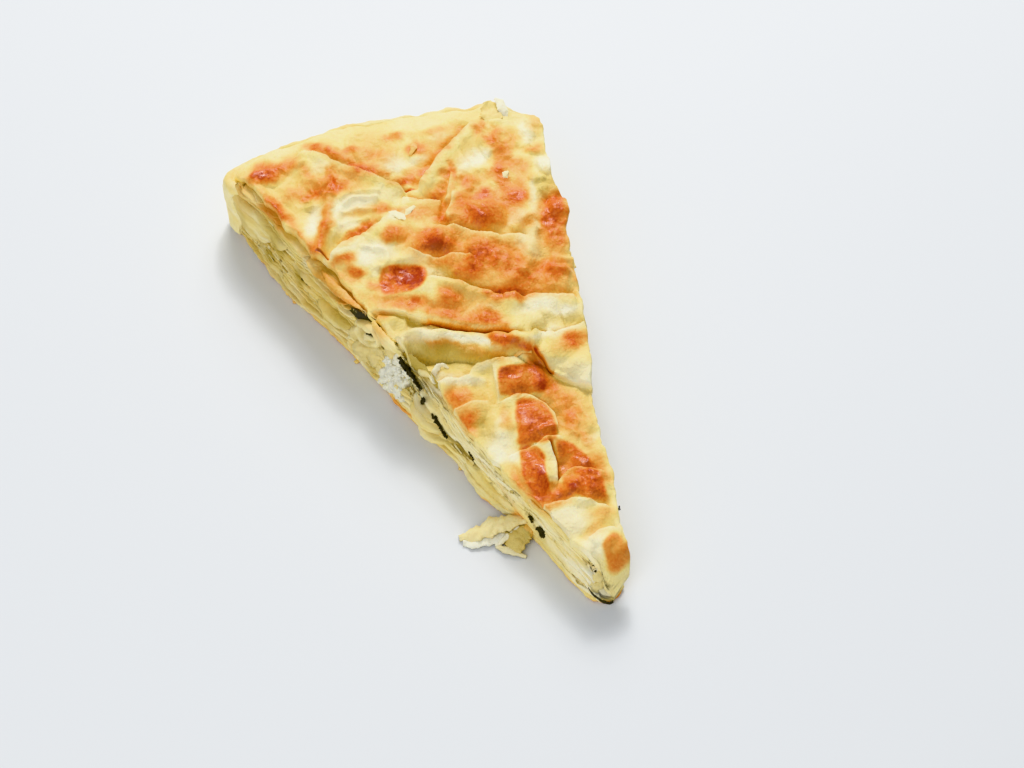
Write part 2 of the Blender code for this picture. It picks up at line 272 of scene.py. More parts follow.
# %% Lips
# Rise of the upper fold, drop of the lower one, how far both reach, how far the edge hangs
# over, and the points it runs through with the upper fold on the right-hand side
LIPS = {
    "back left panel": (
        4.1, 3.8, 9, 1.4, [(-38, 236), (-29, 229), (-24, 220), (-17, 211), (-9, 203), (-2, 197)]
    ),
    "back right panel": (3.6, 3.6, 9, 1.6, [(1, 196), (10, 202), (20, 210), (30, 217), (38, 222)]),
    "small fold, left side": (2.2, 2.2, 6, 1.2, [(-7, 193), (1, 188), (8, 184)]),
    "small fold, right side": (1.2, 1.2, 5, 0.6, [(8, 184), (12, 189), (17, 197)]),
    "pillow, left side": (1.5, 1.2, 5, 0.6, [(5, 171), (6, 176), (10, 181), (13, 187)]),
    "under the pillow": (3.0, 3.0, 7, 1.6, [(-2, 172), (6, 167), (14, 161), (23, 156.5), (33, 155)]),
    "left diagonal": (3.1, 3.1, 7, 1.8, [(-46, 171), (-38, 175), (-30, 177), (-22, 180), (-16, 184)]),
    "middle diagonal": (
        3.1, 3.1, 8, 1.8, [(-14, 149), (-6, 144), (0, 138), (5, 133), (10, 127.5), (20, 125)]
    ),
    "pale band": (1.7, 2.2, 5, 1.6, [(10, 128), (16, 125), (23, 125.5), (33, 121), (38, 119)]),
    "long crevice": (
        2.0, 2.6, 7, 1.6,
        [(16, 107), (11, 110), (0, 117), (-8, 121.5), (-15, 126.5), (-24, 134), (-33, 139.5), (-40, 142)],
    ),
    "right flap": (2.4, 2.4, 5, 1.6, [(13, 108), (20, 105), (28, 105.5), (38, 107)]),
    "front panel": (
        3.1, 2.9, 7, 1.4, [(-29, 104), (-22, 100), (-17, 99), (-11, 103.5), (-5, 102), (1, 100.5), (9, 100)]
    ),
    "below the roll": (
        1.6, 1.6, 5, 1.0, [(29, 76), (22, 81), (16.5, 86), (13.5, 91), (12.5, 95.5), (9, 99.5)]
    ),
    "first blister": (1.4, 1.2, 4, 0.8, [(-11, 83), (-9, 89), (-6, 99)]),
    "second blister": (
        2.0, 1.8, 5, 1.4, [(-12, 83.5), (-5, 83.8), (0, 83), (4, 80.5), (6.5, 75), (6.5, 69), (5, 63)]
    ),
    "third blister": (1.1, 1.0, 4, 1.0, [(-17, 61), (-9, 61.5), (-1, 62), (6, 61)]),
    "front crease": (1.7, 1.9, 4, 1.0, [(0, 61), (-1, 52), (-4, 44)]),
    "front crest": (1.6, 1.6, 4, 1.0, [(-16, 36), (-6, 35.5), (2, 32), (10, 27)]),
    "pool crest": (1.1, 1.0, 4, 0.8, [(-4, 44), (3, 47.5), (9, 44.5), (14, 41)]),
    "tip fold": (1.3, 1.2, 4, 1.0, [(-5, 16), (1, 19), (8, 18)]),
    "lobe of the big panel": (1.6, 1.4, 5, 1.0, [(-15, 166), (-12, 160), (-6, 156), (2, 153), (8, 149)]),
    "two squares": (1.0, 1.0, 3, 0.8, [(-28, 87), (-21, 86.5), (-13, 86)]),
}
LIP_EDGE = 1.2
print(f"{len(LIPS)} lips")

# %% [markdown]
# Where the sheet only buckled, it stands in rounded ridges. The rolled sheet before the middle
# is rounder and steeper than they are, so it has a table of its own.

# %% Ridges and rolls
# Height, half width and points of rounded ridges
RIDGES = {
    "strip on the left": (3.6, 3.2, [(-33, 207), (-35, 199), (-39, 190), (-45, 181), (-49, 171)]),
    "wrinkle on the left": (1.6, 2.6, [(-37, 227), (-38, 217), (-33, 209), (-34, 200)]),
    "pale fold on the right": (2.1, 3.0, [(46, 177), (40, 168), (34, 162), (27, 160)]),
    "tan panel, crest": (1.0, 1.4, [(-12, 143), (-6, 139), (0, 133), (6, 128)]),
    "wrinkle by the strip": (1.2, 1.6, [(36, 141), (41, 138), (46, 134)]),
    "wrinkle by the strip, nearer": (1.1, 1.6, [(31, 136), (37, 132), (44, 127)]),
    "pale fold beside the strip": (2.4, 2.6, [(37, 157), (30, 148), (23, 136)]),
    "pale edge of the strip": (1.3, 2.6, [(24, 132), (29, 141), (35, 152.5), (41, 164), (46, 174)]),
    "back border": (1.4, 5.0, [(-62, 236), (-40, 243), (-10, 247), (20, 243), (42, 234), (58, 224)]),
    "left border": (1.8, 4.0, [(-62, 232), (-58, 214), (-53, 194), (-50, 178)]),
    "fold ripple, back": (1.5, 1.1, [(-31, 199), (-22, 200), (-13, 197)]),
    "fold ripple, middle": (1.3, 1.0, [(-32, 196), (-23, 197), (-15, 194)]),
    "fold ripple, front": (1.2, 1.0, [(-33, 192.5), (-25, 192), (-18, 189)]),
    "fold ripple, foremost": (1.2, 1.1, [(-36, 186), (-29, 187), (-22, 186.5)]),
    "crease beside the strip": (1.2, 1.4, [(-39, 182), (-35, 189), (-31, 196)]),
    "cross wrinkle": (1.0, 1.2, [(-29, 216), (-33, 209), (-42, 203)]),
    "white loop": (1.5, 1.3, [(-33, 171), (-28, 170), (-23, 166), (-25, 161), (-31, 160)]),
    "ear": (2.0, 3.2, [(-38, 139), (-33, 136), (-27, 133)]),
    "second crest of the panel": (1.1, 1.3, [(-27, 99), (-20, 97), (-15, 96), (-10, 94)]),
    "between the middle patches": (1.4, 2.6, [(-36, 147), (-26, 145.5), (-16, 144), (-12, 149)]),
    "above the white loop": (1.2, 2.0, [(-26, 158), (-18, 161), (-12, 159), (-8, 155)]),
    "tan crest": (1.1, 1.2, [(5, 64), (1, 66), (-2, 64.5)]),
    "panel pleat": (0.9, 1.3, [(38, 216), (35, 208), (36, 200)]),
    "panel pleat, outer": (0.9, 1.3, [(44, 212), (41, 206), (41, 198)]),
}

# The same for tubes, which are rounder and steeper, with the half width at both ends
TUBES = {
    "rolled sheet": (
        6.4, 5.4, 6.0, [(-39, 118), (-31, 120), (-23, 117.7), (-11, 113), (-3, 108.7), (6, 103), (13, 98)]
    ),
    "right end of the roll": (3.0, 5.5, 7.5, [(3, 107), (11, 102), (18.5, 96), (25, 89), (31, 82)]),
}

print(f"{len(RIDGES)} ridges and {len(TUBES)} rolls")

# %% [markdown]
# Hollows are the same kind of entry, turned down. Cracks are narrow and deep, and the colour
# darkens them inside with painted shade.

# %% Hollows and cracks
# Depth, half width and points of hollows
HOLLOWS = {
    "under the roll": (5.4, 5.5, [(-37, 113), (-31, 111.5), (-26, 110.4), (-20, 109), (-12, 107), (-4, 103)]),
    "behind the ear": (1.6, 3.0, [(-36, 128), (-28, 130), (-20, 128)]),
    "beside the left strip": (1.8, 4.5, [(-43, 199), (-47, 187)]),
    "right of the middle": (1.6, 5.0, [(24, 200), (33, 201)]),
    "by the right flap": (1.8, 4.5, [(20, 111), (28, 110)]),
}

# The same for narrow cracks, which are painted dark inside as shade
CRACKS = {
    "crevice": (3.4, 0.9, [(-24, 131.5), (-15, 124.5), (-8, 119.7), (0, 115.5), (7, 111.5), (12, 108.5)]),
    "beside the flap": (1.6, 0.7, [(14, 108.5), (20, 106.5)]),
    "beside the first blister": (1.6, 0.6, [(10.5, 98.5), (12.4, 95.5), (13.6, 91), (15, 88)]),
    "front crease": (1.8, 0.7, [(0.5, 60), (-0.5, 53), (-3, 45)]),
    "foot of the back panel": (1.2, 0.8, [(-12, 202.5), (-5, 197), (2, 195)]),
    "left diagonal": (1.2, 0.7, [(-45, 170), (-49, 176)]),
}

print(f"{len(HOLLOWS)} hollows and {len(CRACKS)} cracks")

# %% [markdown]
# Steam lifted the sheet in blisters: flat-topped ovals, the brownest parts of the crust.

# %% Blisters
# Place, half sizes, turn in degrees and height
BLISTERS = (
    (-52, 226, 8, 5, -15, 2.7), (-41, 228, 7, 4.5, 0, 2.1), (-23, 153, 9, 6, -8, -1.2),
    (-5, 165, 10, 7, -20, 3.7), (17, 172, 14, 9, -10, 4.2), (10, 147, 17, 11, -35, 2.9),
    (2, 91, 12, 8, 0, 2.9), (-3, 71, 9, 10, 0, 2.7), (-10, 51, 6, 9, 0, 2.2),
    (5, 38, 9, 8, 0, 2.6), (2, 9, 5, 8, 0, 1.9), (45, 154, 7, 14, -20, 2.2),
    (33, 130, 10, 7, 0, 2.2), (-17, 174, 7, 5, 0, 1.9), (-21, 87, 7, 9, 0, 1.9),
    (-10, 137, 8, 6, -30, 1.9), (42, 205, 7, 10, -30, 1.3), (55, 208, 4, 4.5, 0, 1.8),
    (51, 202.5, 3.6, 3, 0, 1.5), (54, 197, 4.4, 3, -20, 1.9), (54.5, 187, 3.8, 5, 0, 2.2),
    (48, 181, 4, 3, 0, 1.5), (50, 173, 5, 4, 0, 2.0), (50, 163, 5, 7, -15, 2.0),
    (62, 214, 5, 6, 0, 1.6), (-60, 218, 5, 6, 0, 1.4),
)
print(f"{len(BLISTERS)} blisters")

# %% [markdown]
# Every fold is measured from its own line: how far a point is beside it, on which side, and
# how close to the line's ends, where the fold dies away. Only points within reach are looked
# at, which keeps the many lines quick.

# %% Distance from a fold's line
# How far from a line points are looked at, and the share of it in which either end dies away
LINE_REACH, LINE_FADING = 30, 0.12


def beside(points, x, y):
    """Distance, positive on the right-hand side, strength, direction to that side, and share."""
    line = smooth_line(points)
    step = np.diff(line, axis=0)
    distance, strength = np.full(len(x), 99.0), np.zeros(len(x))
    toward, share_along = np.zeros((len(x), 2)), np.zeros(len(x))
    low, high = line.min(0) - LINE_REACH, line.max(0) + LINE_REACH
    near = np.flatnonzero((x > low[0]) & (x < high[0]) & (y > low[1]) & (y < high[1]))
    if not len(near):
        return distance, strength, toward, share_along
    offset = np.stack([x[near], y[near]], axis=-1)[:, None] - line[:-1]
    share = np.clip((offset * step).sum(-1) / (step**2).sum(-1), 0, 1)
    apart = np.linalg.norm(offset - share[..., None] * step, axis=-1)
    rows, best = np.arange(len(near)), apart.argmin(axis=1)
    offset, step_there = offset[rows, best], step[best]
    side = np.sign(offset[:, 0] * step_there[:, 1] - offset[:, 1] * step_there[:, 0])
    far = (best + share[rows, best]) / len(step)
    distance[near] = side * apart[rows, best]
    strength[near] = smooth_step(0, LINE_FADING, far) * smooth_step(1, 1 - LINE_FADING, far)
    share_along[near] = far
    normal = np.stack([step_there[:, 1], -step_there[:, 0]], axis=-1)
    toward[near] = normal / np.linalg.norm(normal, axis=-1)[:, None]
    return distance, strength, toward, share_along


# %% [markdown]
# Blisters, and later the browned patches, are measured from their own middles instead.


# %% Ovals
def in_patch(x, y, centre_x, centre_y, half_x, half_y, turn, power=2):
    """Distance from a patch's centre, 1 on its edge; a higher power gives squarer patches."""
    cos, sin = math.cos(math.radians(turn)), math.sin(math.radians(turn))
    across = np.abs((x - centre_x) * cos + (y - centre_y) * sin) / half_x
    along = np.abs((y - centre_y) * cos - (x - centre_x) * sin) / half_y
    return (across**power + along**power) ** (1 / power)


def patches(x, y, table, soft=0.55):
    """Patches laid over each other, with strength 1 as the most."""
    bare = np.ones(np.shape(x))
    for centre_x, centre_y, half_x, half_y, turn, strength in table:
        far = in_patch(x, y, centre_x, centre_y, half_x, half_y, turn)
        bare = bare * (1 - strength * smooth_step(1 + soft, 1 - soft, far))
    return 1 - bare


def nearer(points, height):
    """Places of points that seem to lie where they are given, but stand up by a height."""
    return np.array(points) - height * SEEN_SHIFT


# %% [markdown]
# A lip is more than a step in height: its edge hangs over the lower fold. So a point is also
# moved sideways, over the lip on the upper side and under it on the lower side. Crests, feet
# and cracks are marked for the colour: a crest is paled, partly as thinner dough and partly as
# a painted highlight, and feet and cracks are darkened with painted shade.


# %% Relief of the folds
def fold_relief(x, y):
    """Height of the folds, how far their edges move the sheet, and marks of crests, feet and cracks."""
    height, shift, marks = np.zeros(len(x)), np.zeros((len(x), 2)), np.zeros((3, len(x)))
    uneven = 0.6 * ripple(x, y, 8, 2.5) + 0.4 * ripple(x, y, 3, 3.5)
    for rise, drop, reach, hang, points in LIPS.values():
        distance, strength, toward, _ = beside(nearer(points, 0.8 * rise), x, y)
        distance = distance + uneven
        upper = smooth_step(-LIP_EDGE, LIP_EDGE, distance)
        plump = 1 + 0.3 * bump(distance - 2.5, 2)
        raised = upper * rise * plump * np.exp(-np.maximum(distance, 0) / reach)
        sunk = (1 - upper) * drop * np.exp(np.minimum(distance, 0) / (0.6 * reach))
        height += strength * (raised - sunk)
        over = bump(distance / LIP_EDGE - 0.8, 1)
        under = 0.6 * bump(distance / LIP_EDGE + 0.8, 1)
        shift += (strength * hang * (under - over))[:, None] * toward
        # Crest: pale edge, partly a painted highlight; foot: painted shade in the valley under the lip
        marks[0] = np.maximum(marks[0], strength * bump(distance - 0.7, 1.0))
        marks[1] = np.maximum(marks[1], strength * drop / 3 * bump(distance + 2.2, 2.0))
    for rise, half_width, points in RIDGES.values():
        distance, strength, _, _ = beside(nearer(points, rise), x, y)
        height += strength * rise * bump(distance, half_width)
    for rise, first_width, last_width, points in TUBES.values():
        distance, strength, _, share = beside(points, x, y)
        round_share = 1 - ((distance + 0.6 * uneven) / mix(first_width, last_width, share)) ** 2
        height += strength * rise * np.sqrt(np.maximum(round_share, 0))
    for depth, half_width, points in HOLLOWS.values():
        distance, strength, _, _ = beside(nearer(points, -depth), x, y)
        height -= strength * depth * bump(distance + uneven, half_width)
    for depth, half_width, points in CRACKS.values():
        distance, strength, _, _ = beside(points, x, y)
        inside = strength * bump(distance + 0.4 * uneven, half_width)
        height -= depth * inside
        # Crack: painted shade inside it
        marks[2] = np.maximum(marks[2], inside)
    return height, shift, marks


def blister_relief(x, y):
    height = 0
    for centre_x, centre_y, half_x, half_y, turn, rise in BLISTERS:
        centre_x, centre_y = nearer((centre_x, centre_y), rise)
        far = in_patch(x, y, centre_x, centre_y, half_x, half_y, turn, 2.4)
        height = height + rise * (0.6 * smooth_step(1.15, 0.3, far) + 0.4 * smooth_step(1.05, 0.75, far))
    return height


# %% [markdown]
# Between the folds the sheet is puffed softly, and where it dried it has fine sharp wrinkles.
# Noise makes both: its plain value gives swellings, and its absolute value gives creases.

# %% Puffs and wrinkles
# Where the sheet is finely wrinkled: place, half sizes, turn and strength
WRINKLED = (
    (-38, 210, 20, 14, 0, 1.0), (-8, 222, 14, 10, 0, 0.6), (22, 188, 18, 9, 0, 0.9),
    (42, 205, 10, 14, -20, 0.8), (8, 142, 20, 12, -35, 0.5), (38, 130, 12, 9, 0, 0.8),
    (-8, 130, 16, 8, -30, 0.6), (46, 155, 6, 16, -24, 0.6), (10, 146, 16, 6, -30, 0.45),
    (14, 65, 8, 18, 0, 0.9), (6, 45, 9, 9, 0, 0.8),
)


def puffs(x, y):
    """Soft swellings between creases, and fine sharp wrinkles where the sheet dried."""
    soft = 2.6 * np.abs(ripple(x, y, 12, 5.5)) + 0.9 * np.abs(ripple(x, y, 5, 6.5))
    soft = soft + 1.2 * ripple(x, y, 20, 9.5)
    sharp = 0.5 - np.abs(ripple(x, y, 6, 7.5)) + 0.6 * (0.5 - np.abs(ripple(x, y, 3.2, 8.5)))
    return soft - 0.8 + (sharp - 0.4) * 1.6 * patches(x, y, WRINKLED)


# %% [markdown]
# All of these are added to the slope. The sheet is rougher near the back rim and the right cut,
# it droops over the back rim, and it drops steeply at the tip, where the slice was pinched.


# %% Height of the top sheet
def slope(y):
    return mix(TIP_HEIGHT, BACK_HEIGHT, smooth_step(RISE_FROM, RISE_TO, y))


def nose(y):
    """How far the top has dropped near the tip."""
    return NOSE_DROP * bump(np.maximum(y, 0), NOSE_LENGTH)


def top_height(x, y, v):
    """Height of the top sheet without its finest detail, its sideways shift and its marks."""
    folds, shift, marks = fold_relief(x, y)
    from_back = (1 - v) * SLICE_LENGTH
    rim = RIM_DROP * np.exp(-from_back / RIM_WIDTH)
    near_rim = bump(from_back, ROUGH_RIM_WIDTH) + 0.6 * smooth_step(0.16 * y + 8, 0.24 * y + 10, x)
    rough = 0.5 * ripple(x, y, 11) + puffs(x, y) + 1.5 * near_rim * ripple(x, y, 8, 33.5)
    return slope(y) - rim - nose(y) + rough + folds + blister_relief(x, y), shift, marks


# %% [markdown]
# The leaves at the cuts have to stay under the crust. So the crust's height is kept along the
# walk, on its rim and at a few depths inside it, and the lowest height close by counts.

# %% Height along the rim
CRUST_THICKNESS = 2.2
ROOF_DEPTHS = np.arange(0, 11, 2.0)
roof_rows = []
for depth in ROOF_DEPTHS:
    x, y = walk_x - depth * walk_nx, walk_y - depth * walk_ny
    heights = top_height(x, y, np.minimum(walk_v, 1 - depth / SLICE_LENGTH))[0]
    beside_it = [np.interp(walk_r + step, walk_r, heights, period=round_length) for step in (-2, -1, 1, 2)]
    roof_rows.append(evened(np.minimum(heights, np.min(beside_it, axis=0)), 2))
    if depth == 0:
        walk_top = evened(heights, 6)
walk_nose = evened(nose(walk_y), 6)
print(f"the top sheet's rim is {walk_top.min():.1f} to {walk_top.max():.1f} mm high")


def roof(r, depth):
    """Height of the top sheet at a depth inside its rim."""
    share = np.clip(depth / ROOF_DEPTHS[1], 0, len(ROOF_DEPTHS) - 1.001)
    row = share.astype(int)
    heights = np.array([at_walk(heights, r) for heights in roof_rows])
    near, far = (np.take_along_axis(heights, row[None] + step, 0)[0] for step in (0, 1))
    return mix(near, far, share - row)


# %% [markdown]
# ## Where the top is browned
# The oven browned the sheet where it stood up or held oil, in patches from gold to a dark
# red-brown. They could be painted on a picture, but a picture has to be unwrapped and has one
# fixed fineness. So each patch is a blurred oval in a table, and unevenness bends its edge.

# %% Browned patches
# Place, half sizes, turn in degrees, strength from 0 to 1
BROWNED = (
    (-54, 227, 6.5, 5, 20, 0.66), (-52, 223.5, 6.5, 3.0, -8, 0.6), (-43, 227.5, 6.5, 4, 10, 0.62),
    (-64, 228, 4, 9, 10, 0.16), (-39, 211, 19, 12, 0, 0.18), (-40, 211, 9, 6, 0, 0.22),
    (-31, 211, 2.6, 9, -32, 0.44), (-41, 205.5, 4.5, 2.4, 35, 0.38), (-29, 206, 4, 2.4, 20, 0.35),
    (-22, 209, 6, 8, 20, 0.25), (-37, 221, 2.2, 5, 0, 0.35), (-55.5, 206, 2.6, 5, 0, 0.62),
    (-53, 198, 3, 4, 0, 0.5), (-53, 187, 3.4, 6, 0, 0.4), (-49.5, 176, 3, 7, -15, 0.45),
    (-42, 186, 2.6, 16, -31, 0.5), (-26, 190, 6, 3, 0, 0.26), (-27, 182, 6.5, 2.4, 22, 0.6),
    (-17, 189, 4, 3.4, 0, 0.52), (-13, 186, 4, 2, -20, 0.35), (-31, 235, 4, 3, -40, 0.35),
    (-8, 221, 9, 10, 0, 0.3), (-16, 226, 3, 2.4, 0, 0.4), (-9, 220, 4, 3, 30, 0.25),
    (9, 217, 4.5, 3.6, 20, 0.5), (16, 213.5, 8, 5, 25, 0.35), (3, 226, 4, 2.4, 0, 0.35),
    (21, 223, 11, 2.4, -5, 0.3), (-3, 200.5, 7, 2.6, -20, 0.5), (3, 204, 7, 3, 20, 0.3),
    (41, 210, 2.8, 6, -38, 0.5), (37, 216, 2.6, 4.5, -30, 0.4), (44, 203, 5.5, 4, 20, 0.4),
    (48, 209, 4, 4, 0, 0.32), (39, 197, 3.6, 7, -25, 0.42), (60, 212, 2.4, 8, -18, 0.3),
    (54, 197, 4.5, 3, -20, 0.45), (43, 190, 5, 4.5, -20, 0.36), (44, 183, 4, 4, 0, 0.25),
    (26, 205, 12, 4, 30, 0.14), (15, 197, 3, 3.4, 0, 0.45), (10, 189.5, 6, 3.4, 20, 0.55),
    (8, 186, 3, 2.2, 0, 0.5), (18, 199, 1.8, 5, -10, 0.3), (21, 191, 3.2, 4, 0, 0.5),
    (30, 189, 7, 3.4, 0, 0.36), (34, 186, 3, 7, -10, 0.4), (36, 178, 5.5, 7, 0, 0.45),
    (24, 180, 4.5, 2.6, 0, 0.5), (18, 183, 8, 4.5, 10, 0.35), (18, 172.5, 15, 9, -14, 0.54),
    (18, 167.5, 9, 4.5, -25, 0.32), (35, 171, 5, 4, 20, 0.35), (1, 181, 6, 5, 0, 0.38),
    (4, 174, 3, 3.4, 0, 0.45), (-7, 182, 5, 4, 0, 0.28), (-17, 174, 6, 4, 0, 0.58),
    (-5, 165, 9.5, 6.5, -25, 0.62), (-5, 161.5, 6, 3, -20, 0.45), (-40, 169, 5, 3.2, 10, 0.55),
    (-38, 160, 4, 4.4, 20, 0.58), (-47, 165, 3, 6, 10, 0.3), (-31, 151.5, 4, 3, 0, 0.5),
    (-7, 154, 7, 3.4, -30, 0.35), (12, 147, 21, 14, -35, 0.47), (8, 149, 7, 4.5, 0, 0.4),
    (3, 145, 6, 3.6, -40, 0.35), (17, 153, 9, 4, -30, 0.2), (11, 131, 7, 3.2, -30, 0.6),
    (18, 128.5, 5, 3, 0, 0.35), (21, 142, 4, 6, 0, 0.3), (-28, 141, 11, 4, -28, 0.52),
    (-24, 137, 4, 4, 0, 0.4), (-36, 138, 4, 3, 0, 0.4), (-8, 138, 4, 4.4, 0, 0.55),
    (-12, 132, 8, 4, -20, 0.35), (0, 131, 9, 6, -30, 0.22), (2, 122, 6, 3.6, -20, 0.5),
    (-8, 125, 9, 3.4, -35, 0.32), (45, 157, 6, 17, -24, 0.62), (43, 153, 3.4, 8, -10, 0.3),
    (50, 165, 4.4, 6, -10, 0.5), (34, 160, 5, 3, 30, 0.35), (32, 132, 12, 7, 0, 0.55),
    (28, 136, 5, 3, 20, 0.35), (43, 127, 3, 4, 0, 0.4), (37, 122, 4, 4, 0, 0.3),
    (29, 100.5, 4.5, 3, 0, 0.55), (27, 100, 9, 5, 0, 0.28), (2, 111.5, 5, 2.6, -30, 0.5),
    (8, 106, 5.5, 3, -42, 0.52), (11.5, 99, 3.4, 5, 10, 0.5), (-18, 114, 15, 3, -38, 0.32),
    (-21, 87, 9, 13, 0, 0.2), (-23.4, 91.3, 4.6, 4, 0, 0.6), (-24, 80, 3.6, 4.6, 0, 0.6),
    (10, 88, 3.4, 8, -8, 0.5), (11, 74, 5, 13, -6, 0.42), (17, 70, 5, 9, -20, 0.22),
    (13, 57, 5, 4, 0, 0.25), (-10, 76, 3, 6, -15, 0.35), (-16, 46, 3.6, 10, 10, 0.55),
    (-14, 39, 5, 4, 0, 0.45), (-6, 37.5, 5, 3.6, 0, 0.6), (10, 42, 5, 9, -10, 0.45),
    (5, 25, 5, 3.4, -20, 0.36), (0, 19.5, 5, 2, 10, 0.32),
)

print(f"{len(BROWNED)} browned patches")

# %% [markdown]
# Along the folds the brown runs in streaks instead. In the valleys and under the lips they are
# partly oil-browned dough and partly painted shade; along the roll and the left edge they are
# browning. They follow lines, as the folds do.

# %% Streaks of browning and painted shade
# Strength, half width and the points that they run through
BROWN_AND_SHADE_STREAKS = {
    "valley on the left": (0.55, 3.2, [(-31, 235), (-25, 228.5), (-20, 220), (-13, 211), (-6, 204)]),
    "valley on the right": (0.5, 2.0, [(3, 200), (13, 206.5), (23, 214), (33, 221.5)]),
    "foot of the panel": (0.35, 2.0, [(-10, 202), (-3, 199), (4, 200)]),
    "under the left diagonal": (0.3, 2.0, [(-40, 177), (-32, 180), (-22, 183)]),
    "pillow, left side": (0.35, 1.6, [(3, 172), (5, 178), (9, 183)]),
    "small fold": (0.4, 1.8, [(-6, 191), (1, 187.5), (8, 185)]),
    "above the pale band": (0.45, 2.4, [(4, 135), (9, 130.5), (17, 126.5), (27, 125), (36, 121)]),
    "above the crevice": (0.4, 2.2, [(-22, 134), (-12, 126), (0, 119), (10, 113.5)]),
    "roll's dark side": (0.38, 2.6, [(-26, 117.5), (-21, 116.5), (-14, 111), (-6, 106.5), (2, 102.5)]),
    "along the roll": (0.5, 3.0, [(-3, 111.5), (3, 108.5), (8, 105), (10, 100)]),
    "left edge, back": (0.22, 2.2, [(-59, 222), (-57, 210), (-54, 197), (-52, 185), (-49, 174)]),
    "left edge, middle": (0.15, 2.0, [(-46, 168), (-43, 156), (-40, 147)]),
}

print(f"{len(BROWN_AND_SHADE_STREAKS)} streaks")

# %% [markdown]
# The darkest patches lie on the blisters of the front, and end at a fold in a straight, crisp
# edge, which an oval can't give. So these are given by their corners.

# %% Patches with straight edges
# Strength and corners
CRISP_BROWNED = (
    (0.7, [(-4.2, 99), (12.4, 95.4), (11, 86.6), (7.5, 79.7), (-0.3, 83.3), (-9.9, 83.7)]),
    (0.72, [(-3.4, 82.6), (2, 81.9), (6.3, 77.7), (5.7, 65.4), (3.1, 60.6), (-6.8, 61.8), (-11.2, 63.6)]),
    (
        0.8,
        [
            (-10.7, 62.9), (-5, 61), (-3.4, 57.5), (-7, 45), (-9, 39), (-13, 38.7),
            (-15.5, 44.5), (-14.2, 55.8),
        ],
    ),
    (0.64, [(3.5, 61.4), (6.6, 59.2), (9.8, 52.2), (11.9, 42.6), (9, 29.5), (-1, 36), (-2.7, 43.9)]),
    (0.5, [(-14, 46), (-4, 44), (1, 40), (-1, 36.5), (-11.8, 36.8), (-14.3, 39.3)]),
    (0.4, [(0, 44), (11.1, 39.1), (9.5, 27.1), (5, 30), (-1, 36.7)]),
    (
        0.58,
        [
            (2.3, 15.2), (5.8, 16), (7.6, 11.3), (7.2, 4.1), (3.2, -1.1), (-1.3, -2.4),
            (-4, -1.2), (-3, 5.5), (-2, 12.1),
        ],
    ),
    (
        0.7,
        [
            (-28.4, 158.6), (-21.9, 159.3), (-11.9, 153.6), (-13.6, 147.2), (-19.4, 144.2), (-31.8, 146.5),
            (-31.5, 152.8),
        ],
    ),
    (1.0, [(-24.8, 158.2), (-13.2, 153.6), (-15.3, 147.4), (-25.5, 148.8)]),
    (0.16, [(45.5, 169), (52, 167), (52, 158), (44, 138), (37, 140), (37, 152), (41, 161)]),
)


def beyond_corners(x, y, corners):
    """Distance outside a patch with straight edges and rounded corners, negative inside it."""
    corners = np.array(corners)
    ahead = np.roll(corners, -1, axis=0)
    step = ahead - corners
    turning = np.sign((corners[:, 0] * ahead[:, 1] - corners[:, 1] * ahead[:, 0]).sum())
    normal = turning * np.stack([step[:, 1], -step[:, 0]], axis=-1) / np.linalg.norm(step, axis=1)[:, None]
    apart = ((np.stack([x, y], axis=-1)[:, None] - corners) * normal).sum(-1)
    return np.log(np.exp(apart).sum(-1))


# %% [markdown]
# The wet dough stayed white on the crests and in the dips that the heat didn't reach; two white
# patches, on the top of the roll and on the pale band, are painted highlights. The olive patches lie
# in hollows and valleys, where the colour is partly the filling through thin dough and partly
# painted shade.

# %% White patches with painted highlights, and olive patches with painted shade
# Place, half sizes, turn in degrees, strength from 0 to 1
# White: pale dough, and painted highlights at (-12, 115.5) on the roll and (30, 115) on the pale band
WHITE = (
    (-43.5, 192, 3.6, 7, -30, 0.95), (-27, 196, 11, 4.6, 0, 0.85), (-33, 188, 4, 6, 30, 0.6),
    (-31, 221, 4, 3, 0, 0.5), (-3, 211.5, 4.6, 5, 0, 0.8), (8, 209, 6, 2.4, 10, 0.6),
    (22, 219, 6, 2, -10, 0.4), (28, 200, 8, 4, 22, 1.0), (-27, 168, 8, 5, 0, 0.8),
    (-38, 174, 9, 2, 18, 0.5), (-13, 160, 5, 3, -50, 0.4), (-11, 150, 5, 3, -40, 0.5),
    (-12, 183, 4, 2.4, 20, 0.9), (30, 164, 6, 3, 20, 0.8), (27, 148, 2.4, 9, -30, 0.7),
    (36, 155, 2.6, 18, -27, 0.45), (-12, 115.5, 20, 3.0, -22, 0.95), (43, 174, 1.6, 6, -25, 0.7),
    (22, 121, 9, 3.6, -5, 0.8), (30, 115, 5, 3, 0, 0.9), (22, 106, 9, 1.6, -5, 0.7),
    (2, 126, 5, 1.8, -5, 0.6), (-21, 99, 10, 2.4, -25, 0.95), (-8, 102, 5, 2, 10, 0.7),
    (-27, 124, 9, 3, -10, 0.4), (24, 84, 5, 6, -20, 0.5), (-17, 66, 5, 8, 0, 0.7),
    (-12, 77, 4, 2, 20, 0.6), (-17, 60, 5, 2, 0, 0.7), (-8, 27, 8, 7, 0, 0.6),
    (-14, 33, 3, 3, 0, 0.7), (-3, 14, 4, 7, -30, 0.6), (55, 208, 3.4, 6, -15, 0.6),
    (54.5, 187, 4, 5, 0, 0.85), (15, 57, 5, 2, 10, 0.5),
)

